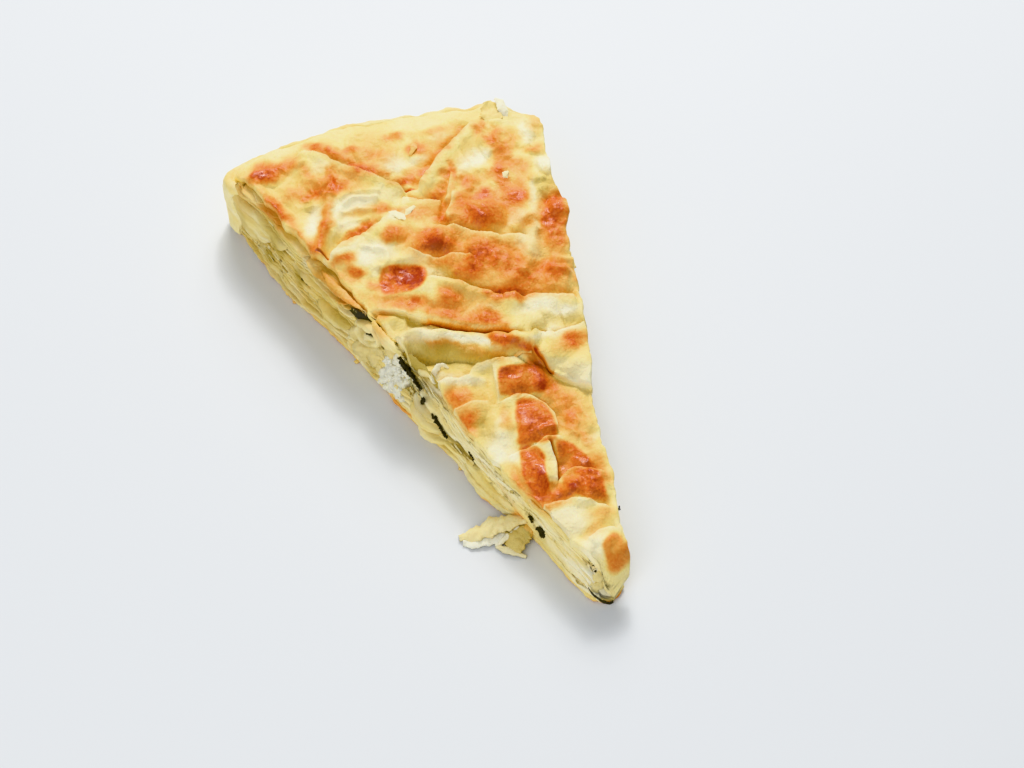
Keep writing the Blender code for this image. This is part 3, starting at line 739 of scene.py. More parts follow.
# Olive: partly the filling through thin dough, partly painted shade in hollows and valleys
OLIVE_AND_SHADE = (
    (-19, 109.5, 18, 6, -26, 0.7), (-22, 115, 9, 2.6, -38, 0.5), (22, 111.5, 10, 3, -5, 0.5),
    (33, 110, 5, 4, 0, 0.35), (50, 175, 6, 5, 0, 0.55), (-32, 130, 8, 4, -30, 0.35),
    (-24, 221, 8, 2.6, -54, 0.3), (-10, 202.5, 7, 2.4, -40, 0.4), (28, 218, 12, 2.2, 38, 0.25),
    (-43, 200, 2.6, 3.4, 0, 0.5), (-40, 179, 9, 1.8, 20, 0.35), (-6, 149, 6, 2.4, -40, 0.3),
    (0, 136, 8, 3, -40, 0.25), (19, 90, 5, 8, 25, 0.3), (-11, 27, 5, 5, 0, 0.3),
    (-19, 75, 3.4, 6, 0, 0.5), (60, 220, 6, 9, 0, 0.15),
)
print(f"{len(WHITE)} white and {len(OLIVE_AND_SHADE)} olive patches")

# %% [markdown]
# One function reads all the tables at any place. The places are bent by noise first, so that
# every oval gets a ragged edge and no two look alike. The result goes into the mesh, point by
# point, and not into a picture.

# %% Colour of the top, with painted shade and highlights
# Noise that bends the patches: strength and size of its waves
PATCH_WAVES = ((1.9, 7), (1.0, 2.6))


def bent(places, x, y, layer):
    """Places moved by noise, so that what is looked up there has a ragged edge."""
    for number, (strength, size) in enumerate(PATCH_WAVES):
        places = places + strength * ripple(x, y, size, layer + number)
    return places


def top_colour_light_and_shade(x, y, lift, marks):
    """How browned, white and olive the top sheet is, where it lies this far above the slope, with painted
    highlights on crests and painted shade in valleys and cracks.
    """
    x, y = x + SEEN_SHIFT[0] * lift, y + SEEN_SHIFT[1] * lift
    crest, foot, crack = marks
    bent_x, bent_y = bent(x, x, y, 11.5), bent(y, x, y, 13.5)
    bare = 1 - patches(bent_x, bent_y, BROWNED, 0.75)
    for strength, corners in CRISP_BROWNED:
        beyond = beyond_corners(mix(x, bent_x, 0.3), mix(y, bent_y, 0.3), corners)
        bare = bare * (1 - strength * smooth_step(1.2, -0.6, beyond))
    # Streaks darken the valleys: browning and painted shade
    for strength, half_width, points in BROWN_AND_SHADE_STREAKS.values():
        distance, fading, _, _ = beside(points, bent_x, bent_y)
        bare = bare * (1 - strength * fading * bump(distance, half_width))
    mottled = 1 + 0.2 * puffs(x, y) + 0.12 * ripple(x, y, 2, 16.5)
    # Lip crests are less browned: partly thinner dough, partly a painted highlight
    browned = 0.95 * (1 - bare) * np.clip(mottled, 0.6, 1.3) * (1 - 0.5 * crest)
    # Painted shade: brown in the valleys under the lips, and dark brown inside the cracks
    browned = browned + 0.07 + 0.07 * ripple(x, y, 9, 17.5) + 0.12 * foot + 0.9 * crack
    white = patches(bent_x, bent_y, WHITE)
    # Lip crests are whiter: partly thinner dough, partly a painted highlight
    white = 1 - (1 - white) * (1 - 0.45 * crest)
    olive_and_shade = patches(bent_x, bent_y, OLIVE_AND_SHADE)
    # Painted shade: olive in the valleys under the lips
    olive_and_shade = 1 - (1 - olive_and_shade) * (1 - 0.35 * foot)
    return browned, white, olive_and_shade


# %% [markdown]
# ## Making meshes
# Each piece is made in a bmesh, Blender's editable mesh. Three numbers are stored at every
# vertex, for the materials to read: how browned, white and olive the food is there, where the
# olive number also carries painted shade and the white one some painted highlights. A piece
# rides on the slice, and stands in for a node where it shows what the node is.

# %% Making a piece
# The third number is partly the dough's own olive tint and partly painted shade
FINISHES = ("browned", "white", "olive_and_shade")


def new_shape():
    bm = bmesh.new()
    for name in FINISHES:
        bm.verts.layers.float.new(name)
    return bm


def put(bm, verts, places, finishes):
    """Places vertices at millimetres from the tip and stores their finish."""
    layers = [bm.verts.layers.float[name] for name in FINISHES]
    places = (places - np.array([0, TIP_TO_ORIGIN, 0])) * MM
    for vert, place, *values in zip(verts, places, *finishes):
        vert.co = place
        for layer, value in zip(layers, values):
            vert[layer] = value


def finished(name, bm, material, replaced=None):
    """Turns a shape into a piece of its own that rides on the slice."""
    bmesh.ops.recalc_face_normals(bm, faces=bm.faces)
    mesh = bpy.data.meshes.new(name)
    bm.to_mesh(mesh)
    bm.free()
    mesh.shade_smooth()
    piece = bpy.data.objects.new(name, mesh)
    bpy.context.scene.collection.objects.link(piece)
    mesh.materials.append(material)
    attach(piece, "root")
    if replaced:
        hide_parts(replaced)
    print(f"{name}: {len(mesh.vertices)} vertices, {len(mesh.polygons)} faces")


# %% [markdown]
# The slice is a wedge, so a square grid would be crowded at the tip. A triangle that is cut
# into small triangles has even cells all over. Extruding its rim down, level by level, gives
# the side, and a plainer triangle closes the underside.


# %% A closed slab
def triangle(bm, cells, rim_cuts=0, height=0):
    """A flat triangle from the tip (0, 0) to the back corners (-1, 1) and (1, 1)."""
    corners = [bm.verts.new(place) for place in ((0, 0, height), (1, 1, height), (-1, 1, height))]
    face = bm.faces.new(corners)
    before = set(bm.faces) - {face}
    bmesh.ops.subdivide_edges(bm, edges=face.edges, cuts=cells - 1, use_grid_fill=True)
    made = [part for part in bm.faces if part not in before]
    if rim_cuts:
        rim = {edge for part in made for edge in part.edges if edge.is_boundary}
        bmesh.ops.subdivide_edges(bm, edges=list(rim), cuts=rim_cuts)
    bmesh.ops.triangulate(bm, faces=made)


def slab_shape(top_cells, low_cells, levels):
    """A closed triangular slab: a fine top, a side in a number of levels and a plainer underside."""
    bm = new_shape()
    fine, plain = max(top_cells, low_cells), min(top_cells, low_cells)
    cuts = fine // plain - 1
    triangle(bm, top_cells, cuts if top_cells < fine else 0)
    ring = [edge for edge in bm.edges if edge.is_boundary]
    for _ in range(levels):
        side = bmesh.ops.extrude_edge_only(bm, edges=ring)["geom"]
        moved = [part for part in side if isinstance(part, bmesh.types.BMVert)]
        ring = [part for part in side if isinstance(part, bmesh.types.BMEdge)]
        ring = [edge for edge in ring if edge.is_boundary]
        bmesh.ops.translate(bm, verts=moved, vec=(0, 0, -1))
    triangle(bm, low_cells, cuts if low_cells < fine else 0, -levels)
    bmesh.ops.remove_doubles(bm, verts=bm.verts, dist=1e-5)
    unit = np.array([vert.co for vert in bm.verts])
    v = unit[:, 1]
    u = np.where(v > 1e-6, unit[:, 0] / np.maximum(v, 1e-6) / 2 + 0.5, 0.5)
    return bm, u, v, -unit[:, 2]


# %% [markdown]
# ## Materials
# The materials are worked out by nodes, so that they stay sharp from close by. A few helpers
# make and join the nodes.

# %% Material helpers
# How deep light goes into moist food, in millimetres
SCATTER_DEPTH = 2


def shade(red, green, blue):
    """A colour as seen on a screen, from 0 to 255, for a shader."""
    seen = [value / 255 for value in (red, green, blue)]
    return (*(value / 12.92 if value < 0.04 else ((value + 0.055) / 1.055) ** 2.4 for value in seen), 1)


def feed(node, inputs):
    """Links a node's inputs to the outputs given for them, or sets them to a number or colour."""
    for socket, value in inputs.items():
        if isinstance(value, bpy.types.NodeSocket):
            node.id_data.links.new(value, node.inputs[socket])
        else:
            node.inputs[socket].default_value = value


def add_node(material, kind, inputs=None, **settings):
    node = material.node_tree.nodes.new(kind)
    for key, value in settings.items():
        setattr(node, key, value)
    feed(node, inputs or {})
    return node


def new_material(name):
    """A material, its shader, and coordinates that stay with the piece."""
    material = bpy.data.materials.new(name)
    material.use_nodes = True
    shader = material.node_tree.nodes["Principled BSDF"]
    return material, shader, add_node(material, "ShaderNodeTexCoord").outputs["Object"]


def maths(material, operation, first, second, clamp=False):
    node = add_node(material, "ShaderNodeMath", {0: first, 1: second}, operation=operation, use_clamp=clamp)
    return node.outputs[0]


def blend_colours(material, share, first, second):
    node = add_node(material, "ShaderNodeMix", {0: share, 6: first, 7: second}, data_type="RGBA")
    return node.outputs[2]


def grain(material, coordinates, size, detail):
    """Noise with spots of the given size in millimetres."""
    inputs = {"Vector": coordinates, "Scale": 1 / MM / size, "Detail": detail}
    return add_node(material, "ShaderNodeTexNoise", inputs).outputs[0]


def uneven_surface(material, height, strength, depth):
    """Fine bumps for a shader's Normal, with a depth in millimetres."""
    inputs = {"Strength": strength, "Distance": depth * MM, "Height": height}
    return add_node(material, "ShaderNodeBump", inputs).outputs[0]


def see_through(weight, radius):
    """Light that is scattered under the surface of moist food, red furthest."""
    return {"Subsurface Weight": weight, "Subsurface Radius": radius, "Subsurface Scale": SCATTER_DEPTH * MM}


# %% [markdown]
# Boiled dough is soft, moist and a little see-through, so its shader scatters light under the
# surface. The stored numbers choose the colour: pale dough, then gold, orange and red-brown as
# it is more browned. Noise on two scales breaks up the patches as blistered dough does, and a
# clear coat makes the darkest parts oily.

# %% Dough material
PALE, YELLOW, GOLD = shade(248, 238, 192), shade(247, 226, 148), shade(244, 206, 122)
ORANGE, TOAST, DARK = shade(236, 166, 84), shade(220, 113, 46), shade(170, 60, 26)
# The olive colour is the dough's own tint and also the colour of painted shade
WHITE_DOUGH, OLIVE_AND_SHADE_DOUGH = shade(250, 246, 222), shade(192, 166, 80)
# Colours from unbrowned to darkest, by how browned the dough is
BROWNING = ((0.12, YELLOW), (0.28, GOLD), (0.5, ORANGE), (0.76, TOAST))
BLOTCH_SIZE, SPECK_SIZE, CLOUD_SIZE = 5.5, 1.1, 9
BLOTCHES, SPECKS, EVEN_SHARE = 0.42, 0.6, 0.5


def along_browning(material, browned, low, high, first, last):
    """A number that goes from first to last as the dough goes from low to high browning."""
    inputs = {0: browned, 1: low, 2: high, 3: first, 4: last}
    return add_node(material, "ShaderNodeMapRange", inputs).outputs[0]


def browned_colour(material, browned, white, olive_and_shade, clouds):
    """Colour of dough that is so browned, white and olive, with yellow clouds where it is pale; the olive
    share also paints shade.
    """
    ramp = add_node(material, "ShaderNodeValToRGB", {0: browned})
    stops = ramp.color_ramp.elements
    stops[0].color, stops[1].color = PALE, DARK
    for place, colour in BROWNING:
        stops.new(place).color = colour
    cloudy = maths(material, "MULTIPLY", clouds, 0.5, clamp=True)
    unbrowned = maths(material, "SUBTRACT", 1.0, maths(material, "MULTIPLY", browned, 2.2), clamp=True)
    colour = blend_colours(material, maths(material, "MULTIPLY", cloudy, unbrowned), ramp.outputs[0], YELLOW)
    colour = blend_colours(material, maths(material, "MULTIPLY", white, unbrowned), colour, WHITE_DOUGH)
    return blend_colours(material, olive_and_shade, colour, OLIVE_AND_SHADE_DOUGH)


def dough_material(name, coat, relief_strength):
    material, shader, coordinates = new_material(name)
    numbers = [add_node(material, "ShaderNodeAttribute", attribute_name=key) for key in FINISHES]
    stored = [node.outputs["Fac"] for node in numbers]
    large = grain(material, coordinates, BLOTCH_SIZE, 4)
    fine = grain(material, coordinates, SPECK_SIZE, 3)
    uneven = maths(material, "MULTIPLY_ADD", large, BLOTCHES)
    uneven.node.inputs[2].default_value = EVEN_SHARE
    uneven = maths(material, "ADD", uneven, maths(material, "MULTIPLY", fine, SPECKS))
    browned = maths(material, "MULTIPLY", stored[0], uneven, clamp=True)
    clouds = grain(material, coordinates, CLOUD_SIZE, 3)
    relief = maths(material, "ADD", fine, maths(material, "MULTIPLY", large, 1.5))
    feed(
        shader,
        {
            "Base Color": browned_colour(material, browned, *stored[1:], clouds),
            "Roughness": along_browning(material, browned, 0.1, 0.8, 0.55, 0.4),
            "Specular IOR Level": 0.22,
            "Coat Weight": along_browning(material, browned, 0.6, 0.85, 0.02, coat),
            "Coat Roughness": 0.12,
            "Normal": uneven_surface(material, relief, relief_strength, 0.5),
            **see_through(0.1, (1.0, 0.7, 0.35)),
        },
    )
    print(f"material {name}: {len(material.node_tree.nodes)} nodes")
    return material


crust_finish = dough_material("browned crust", 0.24, 0.85)
dough_finish = dough_material("soft dough", 0.05, 0.7)

# %% [markdown]
# ## Crust
# The knife dragged the browned edge: on the left it lies back from the cut in places and hangs
# down over it in others, and on the right scraps stand out. Sizes at stations say how far, so
# that each stretch can be set by itself.

# %% Edges of the crust
# How loosely the sheets lie on each other, by y: pressed flat near the tip, loose at the back
LOOSENESS = ((0, 0.1), (45, 0.12), (75, 0.35), (100, 0.8), (130, 1.0), (245, 1.0))
# How far the browned edge lies inside the left cut, by y
LEFT_SETBACK = (
    (0, 4.6), (6, 3.0), (14, 1.4), (26, 0.3), (40, 0.0), (60, 0.6), (76, 1.2), (85, 2.4),
    (92, 3.8), (98, 4.8), (104, 5.2), (111, 3.4), (118, 1.6), (137, 1.9), (158, 2.1),
    (168, 3.8), (174, 1.8), (186, 3.2), (198, 2.8), (212, 1.8), (230, 3.6), (245, 2.0),
)
# How far it stands out over the right cut, by y
RIGHT_OVERHANG = (
    (0, 2.8), (4, 2.4), (14, 1.6), (24, 0), (150, 0), (157, 2.2),
    (164, 3.0), (172, 0.6), (182, 0), (206, 1.4), (218, 0.4),
)
# How far the edge droops over the left cut behind the middle, and where
DROOP, DROOP_Y, DROOP_LENGTH = 2.6, 190, 24


def droop(y):
    return DROOP * bump(y - DROOP_Y, DROOP_LENGTH)


def outward(u, v):
    """Direction straight out of the side that each rim point belongs to, and zero inside."""
    left_side = np.array([-0.97, -0.25]) * (u < 1e-4)[:, None]
    right_side = np.array([0.96, -0.27]) * (u > 1 - 1e-4)[:, None]
    turn = (2 * u - 1) * 0.25
    back = np.stack([np.sin(turn), np.cos(turn)], axis=-1) * (v > 1 - 1e-4)[:, None]
    total = left_side + right_side + back
    return total / np.maximum(np.linalg.norm(total, axis=-1), 1e-9)[:, None]


# %% [markdown]
# The crust itself is one fine triangular slab, bent to the height worked out above. Its rim
# turns down and back in again, so that it ends in a soft edge about 2 mm thick. The browned
# parts are rougher, because they bubbled before they set.

# %% Crust piece
CRUST_CELLS, CRUST_LOW_CELLS = 396, 36
CRUST_DEPTH = 6.5
CRUST_LOWEST = 0.6
# Outward and downward steps of the hem, as shares of its thickness
HEM = ((0, 0), (0.22, 0.2), (0.3, 0.55), (0.18, 0.9), (-0.15, 1.1), (-0.9, 1.0))
# How quickly the shift of either edge dies away inside the slice, as a power
LEFT_EDGE_POWER, RIGHT_EDGE_POWER = 6, 20


def crust():
    bm, u, v, level = slab_shape(CRUST_CELLS, CRUST_LOW_CELLS, len(HEM) - 1)
    x, y = plan(u, v)
    ragged = 0.9 * ripple(y, v, 6, 25.5) + 0.6 * ripple(y, v, 2.6, 26.5)
    left_shift = at_stations(y, LEFT_SETBACK) + ragged
    right_shift = 0.8 * ragged + at_stations(y, RIGHT_OVERHANG)
    x = x + left_shift * (1 - u) ** LEFT_EDGE_POWER + right_shift * u**RIGHT_EDGE_POWER
    height, shift, marks = top_height(x, y, v)
    browned, white, olive_and_shade = top_colour_light_and_shade(x + shift[:, 0], y + shift[:, 1], height - slope(y), marks)
    bubbly = ripple(x, y, 3.2, 21.5) * (0.12 + 0.06 * browned)
    bubbly = bubbly + ripple(x, y, 1.7, 22.5) * (0.04 + 0.07 * browned)
    out = outward(u, v)
    rim = np.abs(out).sum(axis=1) > 0
    deep = (level > len(HEM) - 1.5) & ~rim
    hem = np.array(HEM)[np.round(level).astype(int)] * rim[:, None]
    on_left = u < 0.5
    hang = droop(y) * on_left + 0.8 * (1 + ripple(x, y, 9, 23.5))
    hang = hang + (1.6 * smooth_step(135, 110, y) + 1.2 * smooth_step(14, 5, y)) * on_left
    sag = CRUST_THICKNESS * hem[:, 1] + hang * smooth_step(0.3, 1.1, hem[:, 1])
    reach = CRUST_THICKNESS * hem[:, 0] * mix(0.3, 1, at_stations(y, LOOSENESS))
    reach = reach + rim * 0.5 * ripple(y, x, 3.5, 24.5)
    z = np.where(deep, np.minimum(slope(y), height + 2) - CRUST_DEPTH, height + bubbly - sag)
    z = np.maximum(z, CRUST_LOWEST)
    shift = shift * (~deep)[:, None] + out * reach[:, None]
    places = np.stack([x + shift[:, 0], y + shift[:, 1], z], axis=-1)
    browned = browned * (1 - 0.45 * smooth_step(0, 0.5, hem[:, 1]))
    put(bm, bm.verts, places, (browned, white, olive_and_shade))
    finished("crust", bm, crust_finish, "upper_pastry_layers")


crust()

# %% [markdown]
# ## Filling
# The filling lies between the sheets, thickest in the middle of the slice. Its two surfaces
# decide where the lower leaves stop and the upper ones begin.

# %% Filling surfaces
# y, height of the middle of the filling, thickness
FILLING = (
    (0, 4.6, 2.2), (45, 6.6, 3.0), (78, 8.2, 3.0), (98, 11.0, 6.5), (116, 14.4, 12.0),
    (134, 17.2, 8.0), (152, 19.0, 4.5), (185, 16.0, 3.0), (245, 15.0, 3.0),
)


def under_filling(x, y):
    wavy = 0.6 * ripple(x, y, 40, 3.5)
    return at_stations(y, FILLING) - at_stations(y, FILLING, 2) / 2 + wavy


def over_filling(x, y):
    return under_filling(x, y) + at_stations(y, FILLING, 2)


walk_under = under_filling(walk_x, walk_y)
walk_over = over_filling(walk_x, walk_y)
print(f"filling from {walk_under.min():.1f} to {walk_over.max():.1f} mm high")

# %% [markdown]
# ## Leaves at the cuts
# Each sheet ends at the cut as a soft leaf edge. One block with lines pressed into it would
# look sawn, so every leaf is a closed shape of its own. It follows a path on the side, and its
# cross-section runs from inside the slice out through the cut, where it may hang down over
# the leaves below. One function works out the whole surface from those few sizes.

# %% Leaf section
LEAF_STEP = 1.3
# How deep a leaf reaches into the slice: at the tip, gained for each mm along the cut, at most
TIP_LEAF_DEPTH, LEAF_DEPTH_GAIN, LEAF_DEPTH = 3.2, 0.12, 8.0
BEND_LENGTH = 2.5
# Rings that round the edge off, as shares of half the thickness before its end
EDGE_RINGS = (1.0, 0.5, 0.2, 0.06, 0.015, 0.0)
# How square the edge is: pressed flat where the leaves are tight, round where they are loose
TIGHT_EDGE, LOOSE_EDGE = 6, 2


def even_path(r, z):
    """The path with evenly spaced points."""
    gone = np.append(0, np.cumsum(np.hypot(np.diff(r), np.diff(z))))
    at = np.linspace(0, gone[-1], max(4, int(gone[-1] / LEAF_STEP)))
    return np.interp(at, gone, r), np.interp(at, gone, z), at


def leaf_surface(r, z, thick, reach, hang, rows):
    """Rings of places round a leaf, in walk, height and out."""
    end = reach + hang
    half = thick[:, None] / 2
    y = at_walk(walk_y, r)
    inner = np.minimum(LEAF_DEPTH, TIP_LEAF_DEPTH + LEAF_DEPTH_GAIN * np.maximum(y, 0))[:, None]
    start = -0.4 * inner
    spread = np.linspace(0, 1, rows)
    tail = end[:, None] - half * np.array(EDGE_RINGS)
    body = start + (tail[:, :1] - start) * spread[:-1]
    s = np.hstack([-inner, body, tail])
    square = mix(TIGHT_EDGE, LOOSE_EDGE, at_stations(y, LOOSENESS))[:, None]
    girth = np.maximum(0, 1 - np.maximum(0, (s - end[:, None]) / half + 1) ** square) ** (1 / square)
    girth[:, -1] = 0
    girth[:, 0] = 0.5
    turn = 1.6 * np.clip(hang / 3, 0, 1)[:, None] * smooth_step(0, BEND_LENGTH, s - reach[:, None])
    step = np.diff(s, axis=1)
    middle = (turn[:, 1:] + turn[:, :-1]) / 2
    out = -inner + np.hstack([0 * inner, np.cumsum(np.cos(middle) * step, axis=1)])
    down = np.hstack([0 * inner, np.cumsum(np.sin(middle) * step, axis=1)])
    upper = (out + half * girth * np.sin(turn), -down + half * girth * np.cos(turn))
    lower = (out - half * girth * np.sin(turn), -down - half * girth * np.cos(turn))
    around_out = np.hstack([upper[0], lower[0][:, -2::-1], upper[0][:, :1]])
    around_up = np.hstack([upper[1], lower[1][:, -2::-1], upper[1][:, :1]])
    run_r, run_z = np.gradient(r), np.gradient(z)
    long = np.hypot(run_r, run_z)[:, None]
    all_r = r[:, None] - around_up * run_z[:, None] / long
    all_z = z[:, None] + around_up * run_r[:, None] / long
    return all_r, all_z, around_out


# %% [markdown]
# Before a leaf goes into the mesh its edge is torn by noise, and it is kept between the floor
# and the crust. A grid gives its faces: one way runs along the path, the other round the
# section, and merging the doubles closes it.

# %% Adding a leaf
# Leaves that would rise through the crust are squeezed into this much room under it
SQUEEZE = 1.0
NO_LIMIT = 99
LEAF_LOWEST = 0.25


def torn_edge(r, z):
    torn = 0.4 * ripple(r, 2.5 * z, 2.6, 31.5) + 0.8 * ripple(r, 2 * z, 8, 32.5)
    return torn + 0.4 * ripple(r, z, 1.5, 34.5)


def add_leaf(bm, r, z, thick, reach, hang, rows=9):
    """Adds one leaf to a shape."""
    all_r, all_z, out = leaf_surface(r, z, thick, reach, hang, rows)
    for end in (0, -1):
        all_r[end], all_z[end], out[end] = r[end], z[end], out[end].mean()
    all_z = all_z * (1 - at_walk(walk_nose, all_r) / TIP_HEIGHT)
    out = out + torn_edge(all_r, all_z) * smooth_step(-2, 0.5, out)
    under_crust = roof(all_r, -out) - CRUST_THICKNESS - 0.2
    limit = mix(NO_LIMIT, under_crust, out < -0.5) - SQUEEZE
    above = np.maximum(all_z - limit, 0)
    all_z = np.minimum(all_z, limit) + SQUEEZE * (1 - np.exp(-above / SQUEEZE))
    all_z = np.maximum(all_z, LEAF_LOWEST)
    x, y = on_side(all_r, all_z, out)
    count, around = all_r.shape
    made = bmesh.ops.create_grid(bm, x_segments=count - 1, y_segments=around - 1, size=0.5)["verts"]
    unit = np.array([vert.co for vert in made]) + 0.5
    i = np.round(unit[:, 0] * (count - 1)).astype(int)
    j = np.round(unit[:, 1] * (around - 1)).astype(int)
    places = np.stack([x[i, j], y[i, j], all_z[i, j]], axis=-1)
    put(bm, made, places, side_colour_light_and_shade(all_r[i, j], places, out[i, j]))
    bmesh.ops.remove_doubles(bm, verts=made, dist=1e-6)


# %% [markdown]
# Leaves are pale at their edges, and deep in the gaps they are painted olive as shade. The
# back of the left cut is painted darker and its front paler, as painted shade and painted light.
# The lowest ones are browned by the tray, and those just under the crust take some of its
# brown. Tables add the patches that the left cut shows, as they do on the top: browned patches,
# olive ones that are partly painted shade, and white ones with painted light near the tip.

# %% Colour of the leaves, with painted shade and light
# Patches on the left cut: y, height, half sizes, turn and strength
# Olive on the left cut: partly the dough's own tint, partly painted shade in its recesses
SIDE_OLIVE_AND_SHADE = (
    (108, 26, 5, 4, 0, 0.75), (90, 22, 6, 3, -12, 0.35), (100, 12, 7, 2.0, 0, 0.5),
    (136, 9, 4, 8, 0, 0.6), (150, 12, 9, 3, 0, 0.35), (183, 14, 3, 5, 20, 0.6),
    (198, 18, 4, 6, 20, 0.55), (206, 6, 4, 2, 0, 0.7), (222, 12, 3, 8, 10, 0.3),
    (26, 14, 5, 3, 0, 0.3),
)
SIDE_BROWNED = (
    (160, 27, 13, 3.0, 10, 0.22), (203, 29, 8, 2.4, 0, 0.25), (222, 25, 8, 4, 0, 0.12),
    (53, 9, 9, 1.0, 20, 0.12), (110, 2, 14, 1.2, 0, 0.4), (131, 28, 5, 3.5, 0, 0.2),
    (148, 28, 9, 3.0, 0, 0.34), (46, 4, 3, 3, 0, 0.35),
)
# White on the left cut: pale dough, and painted light on the two patches near the tip, at y 24 and 7
SIDE_WHITE_AND_LIGHT = (
    (104, 14, 5, 4, 0, 0.7), (24, 9, 16, 3, 0, 0.4), (7, 7, 9, 6, 0, 0.7),
    (96, 22, 10, 2.6, -14, 0.6), (178, 26, 3, 3, 0, 0.8), (60, 12, 14, 2.5, 0, 0.5),
)


def face_back(r, z):
    """How far the left cut slopes back above the filling, towards the edge of the crust."""
    y = at_walk(walk_y, r)
    level = (z - at_walk(walk_over, r)) / np.maximum(at_walk(walk_top, r) - at_walk(walk_over, r), 3)
    back = at_stations(y, LEFT_SETBACK) * mix(0.45, 1, np.clip(level, 0, 1)) * smooth_step(140, 125, y)
    return back * smooth_step(-0.1, 0, level) * (r < 0)


def side_colour_light_and_shade(r, places, out):
    """How browned, white and olive the leaves are, with painted shade in the gaps and at the back of the left
    cut, and painted light at its front.
    """
    x, y, z = places.T
    left_here = 1.0 * (r < 0)
    rim_y = at_walk(walk_y, r) + 1.5 * ripple(y, z, 6, 49.5)
    above = at_walk(walk_top, r) - z
    from_top = top_browning(r) * smooth_step(6.5, 2.0, above + 1.5 * ripple(r, z, 5, 41.5))
    from_tray = smooth_step(2.6, 0.4, z + 0.9 * ripple(r, z, 6, 42.5)) * (0.42 + 0.4 * ripple(r, z, 7, 43.5))
    streak = 0.5 * ripple(r, 7 * z, 14, 47.5) + 0.3 * ripple(r, 14 * z, 9, 48.5)
    # Painted shade: the back of the left cut is more olive and browned
    behind = smooth_step(135, 165, rim_y) * left_here
    browned = np.maximum(0.45 * from_top, from_tray) + 0.1 + 0.05 * behind
    browned = browned + 0.08 * ripple(x, y + 3 * z, 12, 44.5) + 0.08 * streak
    browned = np.clip(browned + left_here * patches(rim_y, z, SIDE_BROWNED), 0, 1)
    # Painted shade: more olive deep in the gaps between the leaves
    shade_in = smooth_step(-0.4, -2.8, out + face_back(r, z))
    olive_and_shade = 0.3 * shade_in + 0.25 * ripple(r, 2 * z, 16, 45.5) + 0.4 * streak + 0.32 * behind
    # Painted light: less olive towards the tip of the left cut
    olive_and_shade = olive_and_shade - 0.22 * smooth_step(60, 30, rim_y)
    olive_and_shade = np.clip(olive_and_shade + left_here * patches(rim_y, z, SIDE_OLIVE_AND_SHADE), 0, 1)
    white = 0.14 + 0.4 * ripple(r, 3 * z, 10, 46.5) - 0.5 * streak
    white = np.clip(white + left_here * patches(rim_y, z, SIDE_WHITE_AND_LIGHT), 0, 1)
    return browned, white, olive_and_shade


setback_here = at_stations(walk_y, LEFT_SETBACK) * (walk_r < 0)
no_marks = np.zeros((3, len(walk_x)))
walk_browned = top_colour_light_and_shade(walk_x + setback_here, walk_y, walk_top - slope(walk_y), no_marks)[0]
walk_browned = evened(walk_browned, 3)
print(f"the rim is browned from {walk_browned.min():.2f} to {walk_browned.max():.2f}")


def top_browning(r):
    return at_walk(walk_browned, r)


# %% [markdown]
# Near the back corners the sheets turn up, because the tray's side held them. So each leaf
# runs from the left back corner round the tip to the right one, and bends up at both ends,
# nested in the leaf below it.

# %% Paths of the leaves
CRACK = 0.7
OPENING_Y, OPENING_LENGTH, OPENING_DEPTH = 143, 7.4, 7.4
TURN_UP = 3.5
# How far inside the back corners the lowest leaf turns up, and how much further each mm higher
TURN_INSET, TURN_INSET_GAIN = 2.5, 0.75


def gap_under_crust(r):
    """Depth of the dark opening under the crust on the left, and of the crack beside it."""
    y = at_walk(walk_y, r)
    gape = OPENING_DEPTH * bump(y - OPENING_Y, OPENING_LENGTH)
    crack = CRACK * smooth_step(176, 168, y) * smooth_step(136, 142, y)
    return (gape + crack) * (r < 0)


def ceiling(r):
    """Height that the leaves stay under."""
    drooping = droop(at_walk(walk_y, r)) * (r < 0)
    return at_walk(walk_top, r) - CRUST_THICKNESS - 0.4 - gap_under_crust(r) - 0.3 * drooping


def leaf_path(level, start):
    """A leaf's path: level along the cuts, turned up at the back corners."""
    inset = TURN_INSET + TURN_INSET_GAIN * level
    r = np.arange(left_back + inset + TURN_UP, right_back - inset - TURN_UP, 1.0)
    z = start(r) + level
    bend = np.linspace(0, math.pi / 2, 5)[1:]
    rise = np.linspace(0, 1, 8)[1:]
    ends = []
    for side, corner in ((-1, r[0]), (1, r[-1])):
        foot = z[0] if side < 0 else z[-1]
        arc_r = corner + side * TURN_UP * np.sin(bend)
        arc_z = foot + TURN_UP * (1 - np.cos(bend))
        top = max(arc_z[-1] + 0.5, ceiling(arc_r[-1]) - 0.5)
        ends.append((np.append(arc_r, arc_r[-1] + 0 * rise), np.append(arc_z, mix(arc_z[-1], top, rise))))
    (first_r, first_z), (last_r, last_z) = ends
    return np.concatenate([first_r[::-1], r, last_r]), np.concatenate([first_z[::-1], z, last_z])


# %% [markdown]
# A stack is laid leaf by leaf. Where the room between floor and ceiling runs out, a leaf gets
# thinner and draws back. Loose leaves sag and swell more than tight ones, and a few hang over.
# Each stack is shared out to two pieces, so that neither gets too many triangles.


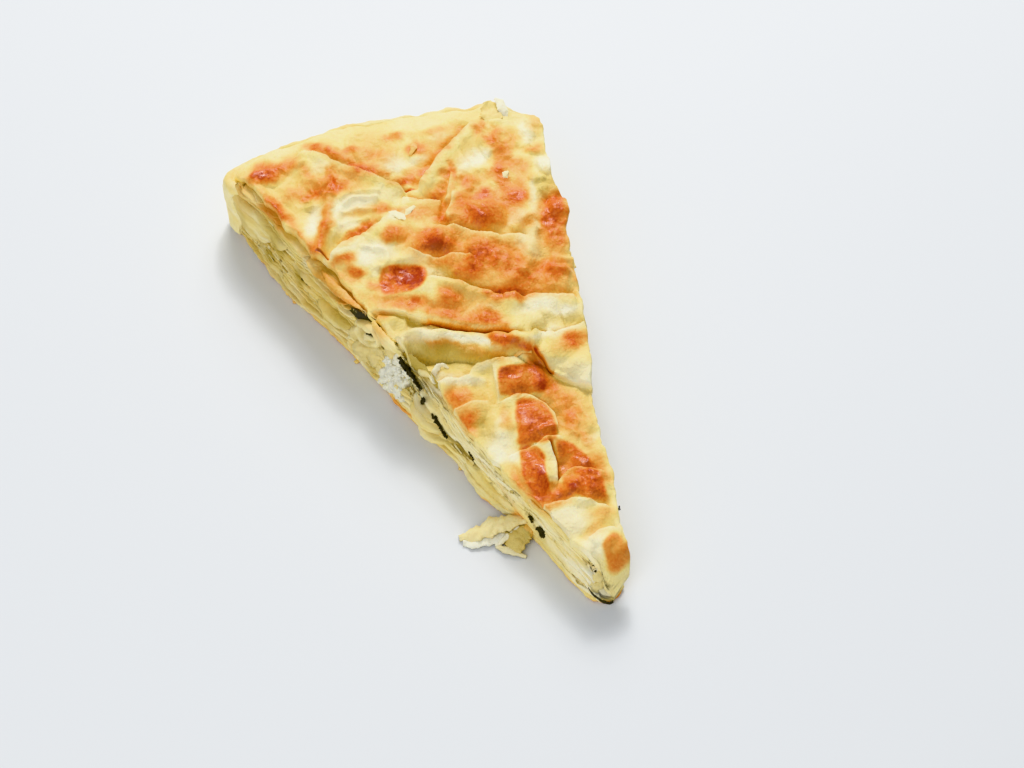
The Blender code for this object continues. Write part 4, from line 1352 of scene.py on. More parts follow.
# %% Stacks of leaves
def add_stack(shapes, floor_at, limit_at, pitches, reach_extra, layer):
    """Leaves one above the other from a floor up, shared out to the shapes from low to high."""
    level = 0.0
    for number, pitch in enumerate(pitches):
        r, z, at = even_path(*leaf_path(level + pitch / 2, floor_at))
        level += pitch
        whole_room = limit_at(r) - floor_at(r)
        room = np.clip(whole_room - level + pitch, 0, pitch) / pitch
        level_share = np.clip(level / np.maximum(whole_room, 3), 0, 1)
        drape = 1.9 * ripple(r, 0 * r, 24, layer) + 0.8 * ripple(r, 0 * r, 9, layer + 1)
        loose = at_stations(at_walk(walk_y, r), LOOSENESS)
        wobble = (0.35 + 0.15 * loose) * ripple(r, z, 6, layer + number + 0.5)
        z = z + drape * loose * 4 * level_share * (1 - level_share) + wobble - (1 - room) * pitch * 0.6
        loose_thick = 0.76 + 0.3 * ripple(at, 0 * at, 8, layer + 3 * number)
        thick = pitch * mix(1.03, loose_thick, loose) * (0.3 + 0.7 * room)
        reach = 0.7 * ripple(at, 0 * at, 9.5, layer + 7.5 * number)
        reach = reach - 1.6 * smooth_step(10, 4, at_walk(walk_y, r)) * smooth_step(4, 7, z)
        reach = reach - 3.5 * (1 - smooth_step(0.2, 0.8, room))
        hang = 2.4 * loose * np.clip(ripple(at, 0 * at, 30, layer + 2.3 * number), 0, 1) * room
        reach = reach + reach_extra(r, z) + 0.25 * np.clip(hang, 0, 2)
        shape = shapes[number * len(shapes) // len(pitches)]
        add_leaf(shape, r, z, np.maximum(thick, 0.4), reach, hang)


def lower_reach(r, z):
    return np.where(r < 0, 0.2, -0.2)


def upper_reach(r, z):
    """The upper leaves stand out under the crack, and step back towards the crust elsewhere."""
    y = at_walk(walk_y, r)
    stand_out = 1.6 * smooth_step(176, 164, y) * smooth_step(144, 154, y)
    return np.where(r < 0, stand_out, -0.4) - face_back(r, z)


# %% [markdown]
# Some sheets are larger events than the stack makes: they hang down over the cut like
# curtains, bulge out of it as thick folds, or are rolled up with a hole in the middle. They
# are leaves too, each with its own path.

# %% Curtains, folds and curls
# First and last y, height at both, how far it hangs, how far out it stands, and thickness
UPPER_DRAPES = {
    "curtain at the back": (238, 200, 25, 25, 17, 1.2, 1.7),
    "curtain behind the hem": (214, 190, 25, 24, 6, 1.2, 1.2),
    "golden sheet": (178, 160, 28.5, 28, 1.5, 1.4, 1.5),
    "golden sheet over the opening": (170, 140, 28.8, 30.0, 2.2, 0.8, 1.3),
    "curtain of the roll": (137, 117, 29.6, 28.6, 5, 0.0, 1.2),
}
LOWER_DRAPES = {
    "low curtain, middle": (172, 150, 12, 12, 5, 1.2, 1.3),
    "inside the curl, upper": (145, 133.5, 18.6, 25.4, 0, 2.0, 2.7),
    "inside the curl, lower": (144, 132, 13.8, 21, 0, 1.8, 3.0),
    "upper fold": (110, 92, 12.4, 11.4, 0, 2.6, 3.6),
    "lower fold": (110, 90, 8.4, 8.2, 0, 3.8, 3.6),
    "last fold": (104, 86, 5.4, 5.6, 0, 4.0, 2.6),
    "sheets at the foot, upper": (81, 44, 7.0, 5.0, 0, 1.6, 2.6),
    "sheets at the foot, middle": (80, 45, 4.4, 3.2, 0, 2.4, 1.8),
    "sheets at the foot, lower": (78, 47, 2.4, 1.8, 0, 2.2, 1.8),
    "over the filling, back": (234, 184, 15.2, 16.0, 1.5, 0.3, 3.6),
    "over the filling, middle": (192, 146, 16.0, 18.6, 1.5, 0.5, 4.6),
    "over the filling, before the folds": (109, 82, 16.6, 10.2, 0, 0.1, 3.6),
    "over the filling, front": (70, 3, 8.0, 5.0, 0, 0.3, 3.6),
    "sheets at the tip, upper": (27, 3, 13.4, 12.4, 0, 0.3, 2.6),
    "sheets at the tip, lower": (25, 4, 9.8, 8.8, 0, 0.5, 2.2),
}
# y and height of the middle, half sizes, thickness, how far out, and how it slopes
CURLS = (
    (139, 19.6, 8.4, 5.0, 2.6, 2.6, -0.4),
    (148, 7, 4.0, 2.0, 1.4, 1.2, -0.2),
)
# Lumps of torn dough on the left cut: y, height, size and how far out
DOUGH_LUMPS = (
    (136, 8, 13, -4.4), (142, 6, 12, -4.0), (131, 5, 11, -3.4), (147, 10, 12, -4.4),
    (134, 13, 11, -3.8), (126, 18.5, 9, -2.8), (9, 9.5, 10, -5.0), (5.5, 6, 6, -3.8),
)

# %% [markdown]
# Two functions turn these sizes into leaves. A curtain gets thinner and draws in at both ends,
# so that it grows out of the cut. A curl runs once round an oval and leaves its hole open.

# %% Making curtains and curls
# Points in the path of a curtain, and in that of a curl
DRAPE_POINTS, CURL_POINTS = 24, 40


def add_drape(bm, first_y, last_y, first_z, last_z, hang, out, thick):
    """A single sheet on the left cut, thin and drawn in at both ends."""
    r = np.linspace(left(first_y), left(last_y), DRAPE_POINTS)
    z = np.linspace(first_z, last_z, DRAPE_POINTS) + 0.7 * ripple(r, 0 * r, 9, first_y)
    r, z, at = even_path(r, z)
    body = np.sin(math.pi * np.clip(at / at[-1], 0.01, 0.99)) ** 0.6
    reach = out * body - 1.0 * (1 - body) + 0.5 * body * ripple(at, 0 * at, 8, first_y + 1)
    hang = hang * body * (1 + 0.4 * ripple(at, 0 * at, 9, first_y + 2))
    add_leaf(bm, r, z, thick * (0.3 + 0.7 * body), reach, hang, rows=9 + int(hang.max()))


def add_curl(bm, y, z, half_y, half_z, thick, out, slant):
    """A rolled-up sheet that ends at the left cut."""
    turn = np.linspace(0.4, 2 * math.pi + 0.2, CURL_POINTS)
    size = np.linspace(1, 0.85, CURL_POINTS)
    step_y = half_y * size * np.cos(turn)
    r, z, at = even_path(left(y + step_y), z + half_z * size * np.sin(turn) + slant * step_y)
    add_leaf(bm, r, z, thick + 0 * at, out + 0.4 * ripple(at, 0 * at, 5, y), 0 * at)


# %% [markdown]
# Crumbs and lumps are small balls whose points are pushed in and out by noise on two scales.


# %% Crumbs and lumps
def add_crumb(bm, place, size, finish=(0.0, 0.0, 0.0), fineness=2):
    """A lumpy crumb at a place in millimetres from the tip."""
    made = bmesh.ops.create_icosphere(bm, subdivisions=fineness, radius=1)["verts"]
    unit = np.array([vert.co for vert in made])
    seed = draws.uniform(0, 50)
    lumps = 1 + 0.35 * ripple(unit[:, 0] + seed, unit[:, 1] + unit[:, 2], 0.7, seed)
    if fineness > 2:
        fine = ripple(unit[:, 0] + seed, unit[:, 1] + 2 * unit[:, 2], 0.22, seed)
        finest = ripple(unit[:, 1] + seed, unit[:, 0] + 2 * unit[:, 2], 0.11, seed)
        lumps = lumps + 0.16 * fine + 0.1 * finest
    places = place + unit * lumps[:, None] * draws.uniform(0.7, 1.25, 3) * size / 2
    places[:, 2] = np.maximum(places[:, 2], 0.3)
    put(bm, made, places, [value + 0 * lumps for value in finish])


def on_cut(r, z, out):
    """One place on the side."""
    x, y = on_side(np.atleast_1d(r), np.atleast_1d(z), np.atleast_1d(out))
    return np.array([x[0], y[0], z])


# %% [markdown]
# Now the leaves are laid. The lower ones start on the bottom sheet and end under the filling.

# %% Lower leaves
THINNEST_PITCH, THICKEST_PITCH = 1.1, 1.7
LOWER_COUNT, UPPER_COUNT = 12, 13
ON_BOTTOM_SHEET = 1.7


def lower_floor(r):
    return ON_BOTTOM_SHEET + 0 * r


def lower_ceiling(r):
    return at_walk(walk_under, r)


lowest_leaves, lower_leaves = new_shape(), new_shape()
pitches = draws.uniform(THINNEST_PITCH, THICKEST_PITCH, LOWER_COUNT)
add_stack((lowest_leaves, lower_leaves), lower_floor, lower_ceiling, pitches, lower_reach, 51.5)
finished("lowest_leaves", lowest_leaves, dough_finish)
for sizes in LOWER_DRAPES.values():
    add_drape(lower_leaves, *sizes)
for sizes in CURLS:
    add_curl(lower_leaves, *sizes)
for y, z, size, out in DOUGH_LUMPS:
    add_crumb(lower_leaves, on_cut(left(y), z, out), size, (0.12, 0.25, 0.25), 4)
finished("lower_leaves", lower_leaves, dough_finish, "lower_pastry_layers")

# %% [markdown]
# The upper ones lie between the filling and the crust. In front of the roll the crust lies back
# from the cut, so one more leaf follows its edge there and closes the gap.

# %% Upper leaves
EDGE_LEAF_FROM, EDGE_LEAF_THICK = 106, 2.2


def upper_floor(r):
    return at_walk(walk_over, r)


upper_leaves, highest_leaves = new_shape(), new_shape()
pitches = draws.uniform(THINNEST_PITCH, THICKEST_PITCH, UPPER_COUNT)
add_stack((upper_leaves, highest_leaves), upper_floor, ceiling, pitches, upper_reach, 71.5)
finished("highest_leaves", highest_leaves, dough_finish)
for sizes in UPPER_DRAPES.values():
    add_drape(upper_leaves, *sizes)
edge_r = np.arange(left(EDGE_LEAF_FROM), 0, 1.0)
edge_r, edge_z, at = even_path(edge_r, at_walk(walk_top, edge_r) - CRUST_THICKNESS - 1.0)
edge_reach = 0.3 - face_back(edge_r, edge_z)
add_leaf(upper_leaves, edge_r, edge_z, EDGE_LEAF_THICK + 0 * at, edge_reach, 0 * at)
finished("upper_leaves", upper_leaves, dough_finish)

# %% [markdown]
# ## Inside
# Behind the leaves lie the imported sheets. Two blocks, set back from the cuts, close the gaps
# between the leaves; they are coloured as olive dough, which is painted shade seen in the gaps.
# The filling runs through the whole slice between them.

# %% Blocks behind the leaves
CORE_CELLS, CORE_LEVELS = 48, 4
CORE_INSET, CORE_LUMPS = 3.6, 0.4
# Colour of the blocks: olive dough as painted shade in the gaps
CORE_PAINTED_SHADE = (0.15, 0, 0.9)


def inset_plan(u, v, inset):
    """Places in the plan that stay inside the cuts."""
    v_in = mix(1.6 * inset / SLICE_LENGTH, 1 - inset / SLICE_LENGTH, v)
    width = mix(10, BACK_WIDTH, v_in)
    return plan(0.5 + (u - 0.5) * (1 - 2 * inset / width), v_in)


def block(name, bottom, top, inset, lumpy, material, finish, replaced=None):
    bm, u, v, level = slab_shape(CORE_CELLS, CORE_CELLS, CORE_LEVELS)
    x, y = inset_plan(u, v, inset)
    z = mix(top(x, y), bottom(x, y), level / CORE_LEVELS)
    lumps = 0.4 + ripple(x + y, 3 * z, 4, 81.5) + 0.6 * ripple(x - y, z, 2, 82.5)
    out = outward(u, v) * (lumpy * lumps)[:, None]
    places = np.stack([x + out[:, 0], y + out[:, 1], z], axis=-1)
    put(bm, bm.verts, places, [value + 0 * x for value in finish])
    finished(name, bm, material, replaced)


def core_floor(x, y):
    return 1.5 + 0 * x


def core_roof(x, y):
    return slope(y) - 6.2


block("dough_core_low", core_floor, under_filling, CORE_INSET, CORE_LUMPS, dough_finish, CORE_PAINTED_SHADE)
block("dough_core_high", over_filling, core_roof, CORE_INSET, CORE_LUMPS, dough_finish, CORE_PAINTED_SHADE)

# %% [markdown]
# The filling is crumbled white cheese with cooked spinach in it. Its own material mixes moist
# white grains with olive and dark green, by one noise and a ramp with four colours.

# %% Filling material and slab
SPINACH_GREEN, OLIVE_GREEN = shade(52, 58, 24), shade(120, 124, 62)
WET_CHEESE, DRY_CHEESE = shade(214, 206, 150), shade(238, 234, 205)
FILLING_INSET, FILLING_LUMPS = 2.4, 0.9
UNBROWNED = (0, 0, 0)


def filling_material():
    material, shader, coordinates = new_material("cheese and spinach")
    ramp = add_node(material, "ShaderNodeValToRGB", {0: grain(material, coordinates, 4.5, 4)})
    stops = ramp.color_ramp.elements
    stops[0].position, stops[0].color = 0.36, SPINACH_GREEN
    stops[1].position, stops[1].color = 0.62, DRY_CHEESE
    stops.new(0.44).color = OLIVE_GREEN
    stops.new(0.5).color = WET_CHEESE
    feed(
        shader,
        {
            "Base Color": ramp.outputs[0],
            "Roughness": 0.5,
            "Normal": uneven_surface(material, grain(material, coordinates, 1.2, 4), 0.8, 0.6),
            **see_through(0.2, (1.0, 0.8, 0.5)),
        },
    )
    return material


block(
    "filling", under_filling, over_filling, FILLING_INSET, FILLING_LUMPS, filling_material(), UNBROWNED,
    "spinach_cheese_filling",
)

# %% [markdown]
# The crumbs of cheese that show at the cuts are whiter than the slab. Their shader scatters
# more light, which keeps them bright in the shadow of the cut.


# %% Cheese material
def cheese_material():
    material, shader, coordinates = new_material("white cheese")
    share = grain(material, coordinates, 3, 3)
    feed(
        shader,
        {
            "Base Color": blend_colours(material, share, shade(250, 247, 228), shade(238, 231, 198)),
            "Roughness": 0.55,
            "Normal": uneven_surface(material, grain(material, coordinates, 0.7, 3), 0.7, 0.3),
            **see_through(0.3, (1.0, 0.85, 0.6)),
        },
    )
    return material


# %% [markdown]
# A block of crumbled cheese shows in the middle of the left cut, and single crumbs show in the
# other cuts. The block is a few large lumps that run into each other, with smaller ones on them.

# %% Cheese
# Lumps in the block: y of the left cut, height, size and how far out
CHEESE_BLOCK = (
    (126, 7, 8, -1.6), (124, 13, 9, -2.0), (121, 18, 8, -2.4), (119, 11, 8, -1.6), (118.5, 5.5, 6, -0.6),
    (123, 4, 6, -0.6), (127.5, 13, 6, -1.2), (121.5, 8, 7, -0.8), (117.5, 17, 6, -2.0), (114.5, 6, 3.4, 0.6),
)
# Middle of the block, half its sizes along the cut and up, and how far it bulges
BLOCK_Y, BLOCK_Z, BLOCK_HALF_Y, BLOCK_HALF_Z, BLOCK_BULGE = 122.5, 10.5, 5.5, 8.5, 1.6
BLOCK_CRUMBS, OTHER_CRUMBS = 90, 130

cheese = new_shape()
for y, z, size, out in CHEESE_BLOCK:
    add_crumb(cheese, on_cut(left(y), z, out), size, UNBROWNED, 4)
for _ in range(BLOCK_CRUMBS):
    across, up = draws.uniform(-1, 1, 2)
    bulge = BLOCK_BULGE * (1 - across**2) * (1 - up**2)
    y, z = BLOCK_Y - 2 * up + BLOCK_HALF_Y * across, BLOCK_Z + BLOCK_HALF_Z * up
    spot = on_cut(left(y), z, draws.uniform(-0.6, 0.6) + bulge)
    add_crumb(cheese, spot, draws.uniform(1.0, 2.6))
for _ in range(OTHER_CRUMBS):
    r = draws.uniform(right(12), round_length + left_back)
    low, high = at_walk(walk_under, r), at_walk(walk_over, r)
    add_crumb(cheese, on_cut(r, draws.uniform(low, high), draws.uniform(-1.8, 0.1)), draws.uniform(0.8, 2.0))
finished("cheese_crumbs", cheese, cheese_material())

# %% [markdown]
# Cooked spinach is dark, wet and crumpled. Each scrap is a small sheet, bent by noise and
# given a thickness. A grid with a solidify step does that, and it serves for every torn scrap.


# %% Spinach material and scraps
def spinach_material():
    material, shader, coordinates = new_material("cooked spinach")
    share = grain(material, coordinates, 2, 3)
    feed(
        shader,
        {
            "Base Color": blend_colours(material, share, shade(30, 28, 11), shade(70, 62, 28)),
            "Roughness": 0.42,
            "Specular IOR Level": 0.3,
            "Normal": uneven_surface(material, grain(material, coordinates, 0.8, 2), 0.6, 0.3),
        },
    )
    return material


def add_sheet(bm, rows, columns, thick, place_all):
    """Adds a thin sheet to a shape; place_all gives places and finishes for shares from 0 to 1."""
    sheet = new_shape()
    bmesh.ops.create_grid(sheet, x_segments=rows, y_segments=columns, size=0.5)
    places, finishes = place_all(np.array([vert.co for vert in sheet.verts])[:, :2] + 0.5)
    put(sheet, sheet.verts, places, finishes)
    bmesh.ops.solidify(sheet, geom=sheet.faces, thickness=thick * MM)
    mesh = bpy.data.meshes.new("sheet")
    sheet.to_mesh(mesh)
    sheet.free()
    bm.from_mesh(mesh)
    bpy.data.meshes.remove(mesh)


SCRAP_THICK = 0.35


def add_scrap(bm, r, z, out, long, wide, turn, finish=UNBROWNED, crumpled=1.0):
    """A crumpled scrap of a thin sheet that lies on the cut."""
    seed = draws.uniform(0, 60)

    def place_all(share):
        a, b = share.T - 0.5
        ragged = 1 + 0.5 * ripple(np.arctan2(b, a), 0 * a, 0.8, seed)
        crumple = 0.9 * ripple(a, b, 0.35, seed) + 0.6 * ripple(a, b, 0.16, seed)
        a, b = a * long * ragged, b * wide * ragged
        all_r = r + a * math.cos(turn) - b * math.sin(turn)
        all_z = np.maximum(z + a * math.sin(turn) + b * math.cos(turn), 0.4)
        x, y = on_side(all_r, all_z, out + crumpled * crumple)
        return np.stack([x, y, all_z], axis=-1), [value + 0 * a for value in finish]

    add_sheet(bm, 8, 6, SCRAP_THICK, place_all)


# %% [markdown]
# The spinach lies in short strips along the filling. Scraps are strewn along each strip from
# one end to the other, a little apart and turned, because a long strip would look cut out.

# %% Strips of spinach
# Strips of spinach on the cuts: y and height at both ends, width at both, how far out, scraps
LEFT_SPINACH = (
    (118, 21.6, 106, 19.6, 4.0, 1.6, -0.8, 13),
    (103.4, 12.6, 101, 18.4, 1.0, 1.8, 0.5, 5),
    (95, 13.6, 86.5, 10.8, 2.0, 1.0, 0.5, 9),
    # The strip at y 139.5 is dark spinach in the hole of the curl, as painted shade
    (139.5, 19.6, 135.5, 21.6, 1.0, 1.0, 0.4, 4),
    (76, 11.4, 72, 11.0, 0.5, 0.4, -0.6, 3),
    (41, 9.8, 39, 9.3, 0.6, 0.5, 0.9, 3),
    (34.6, 8.2, 33.2, 7.6, 2.4, 2.2, 1.0, 2),
    (182, 15, 178, 14, 0.9, 0.7, 0.4, 2),
)
RIGHT_SPINACH = (
    (29, 15, 28, 15, 0.8, 0.8, 1.2, 1),
    (13, 11, 12, 11, 0.5, 0.5, 1.6, 1),
    (66, 8, 56, 7, 1.6, 1.0, 0.2, 5),
    (118, 17, 104, 13, 3.0, 2.2, 0.2, 10),
    (156, 18, 142, 18, 2.0, 1.6, 0.2, 7),
    (196, 16, 182, 16, 1.4, 1.0, 0.2, 4),
)

spinach = new_shape()
for place_on, table in ((left, LEFT_SPINACH), (right, RIGHT_SPINACH)):
    for first_y, first_z, last_y, last_z, first_wide, last_wide, out, count in table:
        for share in (np.arange(count) + 0.5) / count:
            wide = mix(first_wide, last_wide, share) * draws.uniform(0.8, 1.2)
            r = place_on(mix(first_y, last_y, share))
            z = mix(first_z, last_z, share) + draws.uniform(-0.3, 0.3)
            along = math.atan2(last_z - first_z, place_on(last_y) - place_on(first_y))
            apart, turned = draws.uniform(-0.4, 0.4), draws.uniform(-0.4, 0.4)
            add_scrap(spinach, r, z, out + apart, 1.3 * wide + 0.6, wide, along + turned)
print(f"{len(LEFT_SPINACH)} strips of spinach on the left cut, {len(RIGHT_SPINACH)} on the right")

# %% [markdown]
# ## Torn pieces of sheet
# Two tongues of torn sheet lie out of the foot of the left cut, and small flakes stand up on
# the top. Each is a ribbon along a line of places, with a half width at each place.

# %% Tongues and flakes
# On the ground: places in x, y and height, half widths, upright share, arch, and finish
TONGUES = {
    "upper tongue": ([(-15.5, 43.4, 4.0), (-23, 44.8, 4.2), (-28.5, 45.9, 3.4),
                      (-34.4, 46.6, 2.2), (-41.5, 48, 0.6)],
                     (2.0, 3.2, 3.8, 3.6, 1.0), 0, 1.2, (0.14, 0.4, 0)),
    "under the upper tongue": ([(-22, 42.4, 1.6), (-29, 42.6, 1.4), (-36, 43.6, 1.0), (-41, 45.4, 0.6)],
                               (1.4, 2.6, 2.8, 1.2), 0, 0.6, (0.0, 1.0, 0)),
    "lower tongue": ([(-15, 41, 2.4), (-19.5, 39.6, 3.0), (-23.5, 37.4, 2.6), (-27, 36.8, 0.8)],
                     (2.0, 3.6, 5.0, 3.0), 0, 0.8, (0.14, 0.1, 0.5)),
    "root of the lower tongue": ([(-15.5, 42, 3.6), (-17.5, 39.5, 3.6), (-18.6, 36.5, 1.6)],
                                 (1.2, 2.0, 1.2), 0, 0.5, (0.4, 0, 0.2)),
    "rim of the lower tongue, back": ([(-20, 42, 3.2), (-25.5, 40.6, 2.4), (-30.4, 39, 0.8)],
                                      (0.8, 1.1, 0.8), 0, 0.5, (0.05, 0.85, 0)),
    "rim of the lower tongue, front": ([(-30.2, 39.4, 0.8), (-27.6, 35.6, 1.4), (-22, 30.6, 0.8)],
                                       (0.8, 1.5, 0.6), 0, 0.5, (0.05, 0.6, 0.2)),
}
# On the top: the same, with heights above the top sheet
FLAKES = {
    "tab on the back rim": ([(43, 217, -1.8), (45, 221, -0.3), (46, 225, 1.0), (46, 228, 1.8)],
                            (3.4, 4.6, 4.2, 2.0), 0, 0.3, (0.16, 0.1, 0)),
    "white tip of the tab": ([(49.5, 219, -1.8), (50.5, 222, -0.2), (50.5, 226, 1.2), (49.5, 228, 1.6)],
                             (2.0, 2.8, 2.4, 1.2), 0.2, 0.3, (0.02, 0.8, 0)),
    "torn strip": ([(-15.5, 186.6, -0.8), (-13, 184.6, 0.2), (-11, 181.4, 0.3), (-9.6, 178.4, -0.4)],
                   (0.8, 1.5, 1.7, 0.8), 0, 0.2, (0.04, 0.6, 0)),
    "torn strip, small": ([(-10.4, 180, -0.4), (-7.4, 182.4, 0.3), (-3.6, 185, -0.4)],
                          (0.7, 1.3, 0.6), 0, 0.2, (0.08, 0.5, 0)),
    "curl under the roll": ([(-29.2, 101.4, -0.6), (-28.2, 104, 0.4), (-26.2, 106, 1.2),
                             (-23.6, 106.8, 1.2), (-21.6, 105.4, 0.2)],
                            (1.2, 1.7, 1.6, 1.1, 0.5), 0.4, 0.4, (0, 0.8, 0.2)),
    "flake at the pillow": ([(35.5, 185, -0.3), (36.5, 186.6, 0.7), (38, 187.5, 0.2)],
                            (1.2, 1.3, 0.6), 0, 0.3, (0.1, 0.5, 0)),
    "flake on the first blister": ([(1, 98, 0.2), (5, 98.5, 1.0), (9, 97, 0.2)],
                                   (0.5, 1.0, 0.5), 0, 0.3, (0.4, 0.2, 0)),
    "flake at the back": ([(5, 213, 0.2), (8, 216, 1.2), (9, 219, 0.3)],
                          (0.5, 1.6, 0.6), 0, 0.3, (0.35, 0.1, 0)),
}
print(f"{len(TONGUES)} ribbons at the foot, {len(FLAKES)} on the top")

# %% [markdown]
# The ribbon is a grid too. Its long way follows a smooth line through the places, and its
# short way lies flat or stands upright. Ragged sides and creases come from noise.

# %% Ribbons
LOWEST_RIBBON = 0.6


def add_ribbon(bm, points, half_widths, upright, arch, finish, thick):
    """A torn strip of sheet along a line of places."""
    line = smooth_line(points)
    widths = np.interp(np.linspace(0, 1, len(line)), np.linspace(0, 1, len(half_widths)), half_widths)
    step = np.gradient(line, axis=0)
    side = np.stack([-step[:, 1], step[:, 0], 0 * step[:, 0]], axis=-1)
    side = side / np.linalg.norm(side, axis=1)[:, None]
    side = (1 - upright) * side + upright * np.array([0, 0, 1])

    def place_all(share):
        at, off = share[:, 0] * (len(line) - 1), 2 * share[:, 1] - 1
        columns = (*line.T, widths, *side.T)
        pick = [np.interp(at, np.arange(len(line)), column) for column in columns]
        centre, width, across = np.stack(pick[:3], axis=-1), pick[3], np.stack(pick[4:], axis=-1)
        ragged = 1 + 0.4 * ripple(at, np.sign(off), 3, 5.5) + 0.25 * ripple(at, off, 1.2, 8.5)
        places = centre + across * (off * width * ragged)[:, None]
        x, y = places[:, 0], places[:, 1]
        creased = 0.6 * np.abs(ripple(x + y, 3 * (x - y), 7, 6.5)) + 0.3 * ripple(x, y, 2, 9.5)
        bow = (arch * (1 - off**2) + (0.5 + arch) * creased) * (1 - upright)
        bow = bow + 0.3 * upright * ripple(x, y, 2, 4.5)
        places[:, 2] = np.maximum(places[:, 2] + bow, LOWEST_RIBBON)
        return places, [value + 0.06 * ripple(x, y, 3, 7.5) for value in finish]

    add_sheet(bm, 8 * len(half_widths), 18, thick, place_all)


# %% [markdown]
# Two dark leaves of spinach are ribbons that stand upright: one in the opening under the
# crust, and one round the tip. The one in the opening is partly a real leaf and partly painted
# shade, which darkens the back of the opening.

# %% Leaves of spinach
# y, height and distance out of the leaf in the opening, which also paints the shade in it
OPENING_LEAF = ((154, 22.4, 0.2), (149, 23.6, 0.4), (144, 24.8, 0), (139, 25.6, -0.8), (134, 26, -2.0))
# Place along the walk, height and distance out of the leaf at the tip
TIP_LEAF = (
    (left(6.5), 6.6, 0.7), (left(4.5), 5.6, 1.2), (left(2.5), 4.6, 1.3),
    (-3.4, 3.4, 1.3), (-1.8, 2.6, 1.2), (0, 1.8, 0.9),
)
leaf_line = [on_cut(left(y), z, out) for y, z, out in OPENING_LEAF]
add_ribbon(spinach, leaf_line, (0.3, 1.7, 2.8, 3.0, 2.0), 0.9, 0.2, UNBROWNED, 0.3)
tip_line = [on_cut(r, z, out) for r, z, out in TIP_LEAF]
add_ribbon(spinach, tip_line, (0.2, 0.7, 0.6, 1.0, 0.7, 0.9), 0.9, 0.2, UNBROWNED, 0.3)
finished("spinach", spinach, spinach_material())

# %% [markdown]
# The torn pieces are laid now. One more upright ribbon is the olive sheet that shows under the
# end of the roll: thin dough whose olive is partly its own and partly painted shade. The flakes
# get their heights from the top sheet under them.


# %% Torn sheets
def top_at(x, y):
    """Height of the top sheet at one place."""
    place = np.array([[x], [y]])
    return float(top_height(place[0], place[1], place[1] / SLICE_LENGTH)[0][0])


# y, height and distance out of the olive sheet, whose olive is partly painted shade
OLIVE_SHADED_SHEET = ((118, 26.0, -1.2), (114, 26, -2.4), (109, 25.2, -3.6), (104, 24.4, -4.4), (99, 23.8, -4.6))

torn = new_shape()
olive_shaded_line = [on_cut(left(y), z, out) for y, z, out in OLIVE_SHADED_SHEET]
add_ribbon(torn, olive_shaded_line, (1.6, 3.4, 3.8, 3.4, 2.0), 0.9, 0.3, (0.05, 0, 1), 0.4)
for points, *sizes in TONGUES.values():
    add_ribbon(torn, points, *sizes, 0.7)
for points, *sizes in FLAKES.values():
    add_ribbon(torn, [(x, y, top_at(x, y) + above) for x, y, above in points], *sizes, 0.4)
finished("torn_sheets", torn, dough_finish)

# %% [markdown]
# The knife tore shreds from the sheets, which stick to the left cut and blur its layers.

# %% Shreds on the left cut
SHRED_COUNT = 420

shreds = new_shape()
for _ in range(SHRED_COUNT):
    y = draws.uniform(10, 232)
    low, high = 2.5, float(at_walk(walk_top, left(y))) - 5
    z = draws.uniform(low, high)
    out = draws.uniform(-0.7, 0.1) - float(face_back(np.array([left(y)]), np.array([z]))[0])
    sizes = draws.uniform(2.5, 6.0), draws.uniform(0.9, 2.0)
    finish = (draws.uniform(0.05, 0.2), draws.uniform(0, 0.4), draws.uniform(0.1, 0.6))
    add_scrap(shreds, left(y), z, out, *sizes, draws.uniform(-0.35, 0.35), finish, 0.35)
finished("shreds", shreds, dough_finish)

# %% [markdown]
# ## Bottom sheet
# The lowest sheet lay on the tray: flat, thin and browned in spots, with a crumbly edge.

# %% Bottom sheet piece
BOTTOM_CELLS, BOTTOM_LEVELS = 120, 4
BOTTOM_TOP, BOTTOM_FOOT = 1.9, 0.15


def bottom_sheet():
    bm, u, v, level = slab_shape(BOTTOM_CELLS, BOTTOM_CELLS, BOTTOM_LEVELS)
    x, y = plan(u, v)
    out = outward(u, v)
    rim = np.abs(out).sum(axis=1) > 0
    foot = at_stations(y, FOOT_SPREAD) * np.where(u < 0.5, 1, RIGHT_FOOT_SHARE) * (v < 1 - 1e-4)
    crumbly = 0.5 * ripple(x + y, x - y, 3, 91.5) + 0.35 * ripple(x + y, x - y, 1.4, 92.5)
    reach = rim * (0.9 * foot + crumbly + 0.5 * np.sin(math.pi * level / BOTTOM_LEVELS))
    underside = level > BOTTOM_LEVELS - 0.5
    z = mix(BOTTOM_TOP, BOTTOM_FOOT, level / BOTTOM_LEVELS)
    z = z + 0.12 * (1 + ripple(x, y, 9, 93.5)) * underside
    browned = 0.36 + 0.3 * ripple(x, y, 12, 94.5) + 0.3 * ripple(x, y, 4.5, 95.5)
    places = np.stack([x + out[:, 0] * reach, y + out[:, 1] * reach, z], axis=-1)
    browned = np.clip(browned, 0, 1) * mix(0.35, 1, level / BOTTOM_LEVELS)
    put(bm, bm.verts, places, (browned, 0 * x, 0 * x))
    finished("bottom_sheet", bm, dough_finish)


bottom_sheet()

# %% [markdown]
# Crumbs of browned sheet stick to the foot of the cuts, most of all on the left behind the
# middle.

# %% Crumbs at the foot
# First and last y on the left, and how many
LEFT_FOOT_CRUMBS = ((182, 196, 16), (160, 205, 8), (112, 150, 5), (205, 232, 4), (50, 80, 3))
RIGHT_FOOT_CRUMBS = 70

